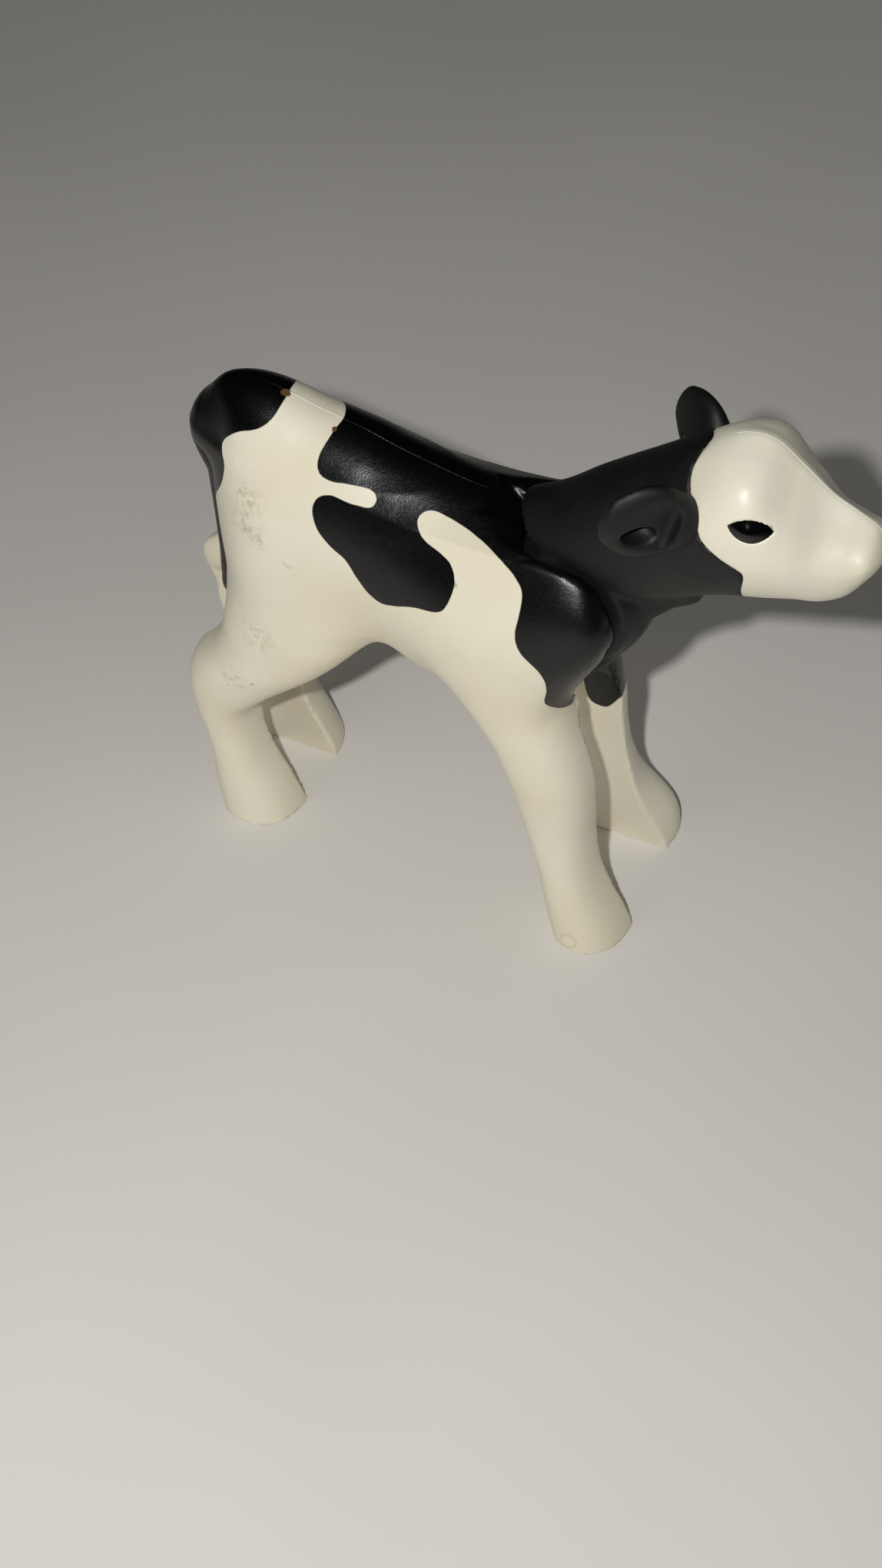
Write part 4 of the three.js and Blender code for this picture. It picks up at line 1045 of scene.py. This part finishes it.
# %% [markdown]
# ## The other plastics
# Each is one colour, so one function makes them all: two near tones in clouds, a gloss that
# varies a little, and a grain. Moulded grain is under a tenth of a millimetre wide; it is
# drawn at three tenths and more, so that it shows.

# %% Ivory face, black plastic, eyes and pin
tone_cloud_mm, gloss_cloud_mm, gloss_span, grain_rough = 6, 2.4, (0.3, 0.7), 0.6


def plain_plastic(name, tones, roughness, grain_mm, grain_height):
    """A plastic in one colour, with two near tones and a gloss between two roughnesses."""
    material, tree, places = empty_material(name)
    colour = two_tones(tree, places, tone_cloud_mm, *tones)
    rough = cloudy(tree, places, gloss_cloud_mm, gloss_span, roughness)
    height = cloudy(tree, places, grain_mm, whole_span, (0, grain_height), rough=grain_rough)
    end_material(material, tree, colour, rough, height)
    return material


# The face is white ABS from a smooth mould: a calm satin, cooler and sleeker than the body.
face_abs = plain_plastic("moulded_white_abs", ("#e4dfcc", "#e0dac3"), (0.34, 0.44), 1.6, 0.02)
# The neck and ears are black ABS from a sanded mould: nearly dull, so they stay dark.
neck_abs = plain_plastic("moulded_black_abs", ("#070708", "#0a0a0b"), (0.54, 0.62), 0.3, 0.02)
# The tail is satin black ABS: it is sleeker, so a streak of light runs down its ridge.
tail_abs = plain_plastic("satin_black_abs", ("#070708", "#0b0b0c"), (0.30, 0.40), 0.3, 0.02)
# The eyes are black ABS from a polished mould: each mirrors the lamp as one sharp point.
eye_gloss = plain_plastic("glossy_black_abs", ("#060607", "#08080a"), (0.06, 0.12), 1.0, 0.0)
# The pin is cut from drawn acetal rod: a waxy grey that no side of the whole toy shows.
pin_grey = plain_plastic("grey_acetal", ("#8c8c88", "#83837f"), (0.40, 0.50), 0.4, 0.01)

# %% [markdown]
# ## Parting lines
# Where the two sides of a mould meet, a hair of plastic is left standing: along the calf's
# back and down the nose. It could be drawn as a bump, but a bump does not change the outline
# of the back. So each line is a path on the skin, and Geometry Nodes sweep a thin
# round bead along it. The bead sits mostly sunk, so only a fine edge catches the light.

# %% Beads along the back and the nose
bead_radius, bead_sink, bead_step, bead_sides, height_samples = 0.12, 0.09, 0.25, 8, 500


def bead_path(field, along_x, low, high):
    """Where the middle plane meets the top of a skin, sunk a little into it."""
    heights = np.linspace(high, low, height_samples)
    value = field(*np.meshgrid(along_x, [0.0], heights, indexing="ij"))[:, 0, :]
    first, rows = np.argmax(value < 0, axis=1), np.arange(len(along_x))
    outer, inner = value[rows, first - 1], value[rows, first]
    top = heights[first - 1] + (heights[first] - heights[first - 1]) * outer / (outer - inner)
    return np.stack([along_x, 0 * along_x, top - bead_sink], axis=1)


def bead_tree():
    """Sweeps a circle along the path that it is given."""
    tree = bpy.data.node_groups.new("parting_line", "GeometryNodeTree")
    tree.interface.new_socket("Path", in_out="INPUT", socket_type="NodeSocketGeometry")
    for socket in ("Bead radius", "Point spacing"):
        tree.interface.new_socket(socket, in_out="INPUT", socket_type="NodeSocketFloat")
    tree.interface.new_socket("Finish", in_out="INPUT", socket_type="NodeSocketMaterial")
    tree.interface.new_socket("Bead", in_out="OUTPUT", socket_type="NodeSocketGeometry")
    given = tree.nodes.new("NodeGroupInput").outputs
    spaced = add(tree, "GeometryNodeResampleCurve", {
        "Curve": given["Path"], "Length": given["Point spacing"]}, mode="LENGTH")
    ring = add(tree, "GeometryNodeCurvePrimitiveCircle", {
        "Resolution": bead_sides, "Radius": given["Bead radius"]})
    swept = add(tree, "GeometryNodeCurveToMesh", {
        "Curve": spaced, "Profile Curve": ring, "Fill Caps": True})
    real = add(tree, "GeometryNodeRealizeInstances", {"Geometry": swept})
    done = add(tree, "GeometryNodeSetMaterial", {"Geometry": real, "Material": given["Finish"]})
    add(tree, "NodeGroupOutput", {"Bead": done})
    return tree


sweep = bead_tree()


def bead(name, points, finish, body):
    """A plain mesh piece: the bead along a path of points in millimetres."""
    path = bpy.data.curves.new(name + "_path", "CURVE")
    path.dimensions = "3D"
    line = path.splines.new("POLY")
    line.points.add(len(points) - 1)
    for spot, place in zip(line.points, points):
        spot.co = (*mm(*place), 1)
    holder = bpy.data.objects.new(name + "_path", path)
    bpy.context.scene.collection.objects.link(holder)
    modifier = holder.modifiers.new("sweep", "NODES")
    modifier.node_group = sweep
    values = {"Bead radius": bead_radius * MM, "Point spacing": bead_step * MM, "Finish": finish}
    for socket in sweep.interface.items_tree:
        if socket.in_out == "INPUT" and socket.name in values:
            modifier[socket.identifier] = values[socket.name]
    evaluated = holder.evaluated_get(bpy.context.evaluated_depsgraph_get())
    mesh = bpy.data.meshes.new_from_object(evaluated)
    bpy.data.objects.remove(holder)
    mesh.shade_smooth()
    made = bpy.data.objects.new(name, mesh)
    bpy.context.scene.collection.objects.link(made)
    print(name, len(mesh.vertices), "points")
    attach(made, body)
    return made


back_path = bead_path(body, np.linspace(-5.0, 20.5, 90), 44, 54)
nose_path = bead_path(face, np.linspace(42.6, 55.6, 60), 50, 62)
back_bead = bead("back_parting_line", back_path, ivory_abs, "trunk")
bead_places = np.array([vertex.co for vertex in back_bead.data.vertices]) / MM - np.array(shift)
add_values(back_bead, "paint", paint_distance(bead_places))
bead("nose_parting_line", nose_path, face_abs, "head")

# %% Dress the pieces
stand_for(right_skin, "body_half_right", "trunk", ivory_abs)
stand_for(left_skin, "body_half_left", "trunk", ivory_abs)
stand_for(core_skin, "neck_and_head_core", "head", neck_abs)
stand_for(face_skin, "face_shell", "head", face_abs)
stand_for(right_eye_skin, "eye_right", "head", eye_gloss)
stand_for(left_eye_skin, "eye_left", "head", eye_gloss)
stand_for(ears[0], "ear_right", "head", neck_abs)
stand_for(ears[1], "ear_left", "head", neck_abs)
stand_for(tail_skin, "tail", "trunk", tail_abs)
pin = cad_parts["neck_pin"]
pin.data.materials.clear()
pin.data.materials.append(pin_grey)

# %% [markdown]
# ## Floor and light
# The toy stands on a sheet of uncoated paper, pressed smooth: a dull warm grey-white that
# mirrors nothing. The photograph's light is small and close beside the camera, so the shadows
# are crisp and fall away behind the calf. A lamp as small stands there. A weak broad lamp and
# an even surrounding lighten the shaded sides, but the plastic mirrors neither of them, so
# the black stays black.

# %% Floor
floor_reach, paper_roughness = 1.5, 0.85
pale_paper, tree, places = empty_material("pale_paper")
shade = two_tones(tree, places, 60, "#e8e4dd", "#e1ddd5", (0.3, 0.7))
end_material(pale_paper, tree, shade, paper_roughness)
corners = [(x * floor_reach, y * floor_reach, 0) for x, y in ((-1, -1), (1, -1), (1, 1), (-1, 1))]
floor_mesh = bpy.data.meshes.new("floor")
floor_mesh.from_pydata(corners, [], [(0, 1, 2, 3)])
floor = bpy.data.objects.new("floor", floor_mesh)
floor_mesh.materials.append(pale_paper)
bpy.context.scene.collection.objects.link(floor)

# %% Lamps and surrounding
room_strength = 0.13


def round_lamp(name, place, target, size, power):
    """A disk of light of a size in metres that looks from one place to another."""
    data = bpy.data.lights.new(name, "AREA")
    data.shape, data.size, data.energy = "DISK", size, power
    lamp = bpy.data.objects.new(name, data)
    lamp.location = mm(*place)
    lamp.rotation_euler = (mm(*target) - lamp.location).to_track_quat("-Z", "Y").to_euler()
    bpy.context.scene.collection.objects.link(lamp)
    return lamp


round_lamp("key", (60, -130, 172), (15, 0, 35), 0.006, 0.253)
fill = round_lamp("fill", (-70, -180, 55), (15, 0, 25), 0.160, 0.065)
fill.visible_glossy = False
world = bpy.data.worlds.new("room")
bpy.context.scene.world = world
world.use_nodes = True
background = world.node_tree.nodes["Background"]
background.inputs["Color"].default_value = linear("#e8e8e8")
background.inputs["Strength"].default_value = room_strength
world.cycles_visibility.glossy = False
bpy.context.scene.view_settings.view_transform = "Standard"
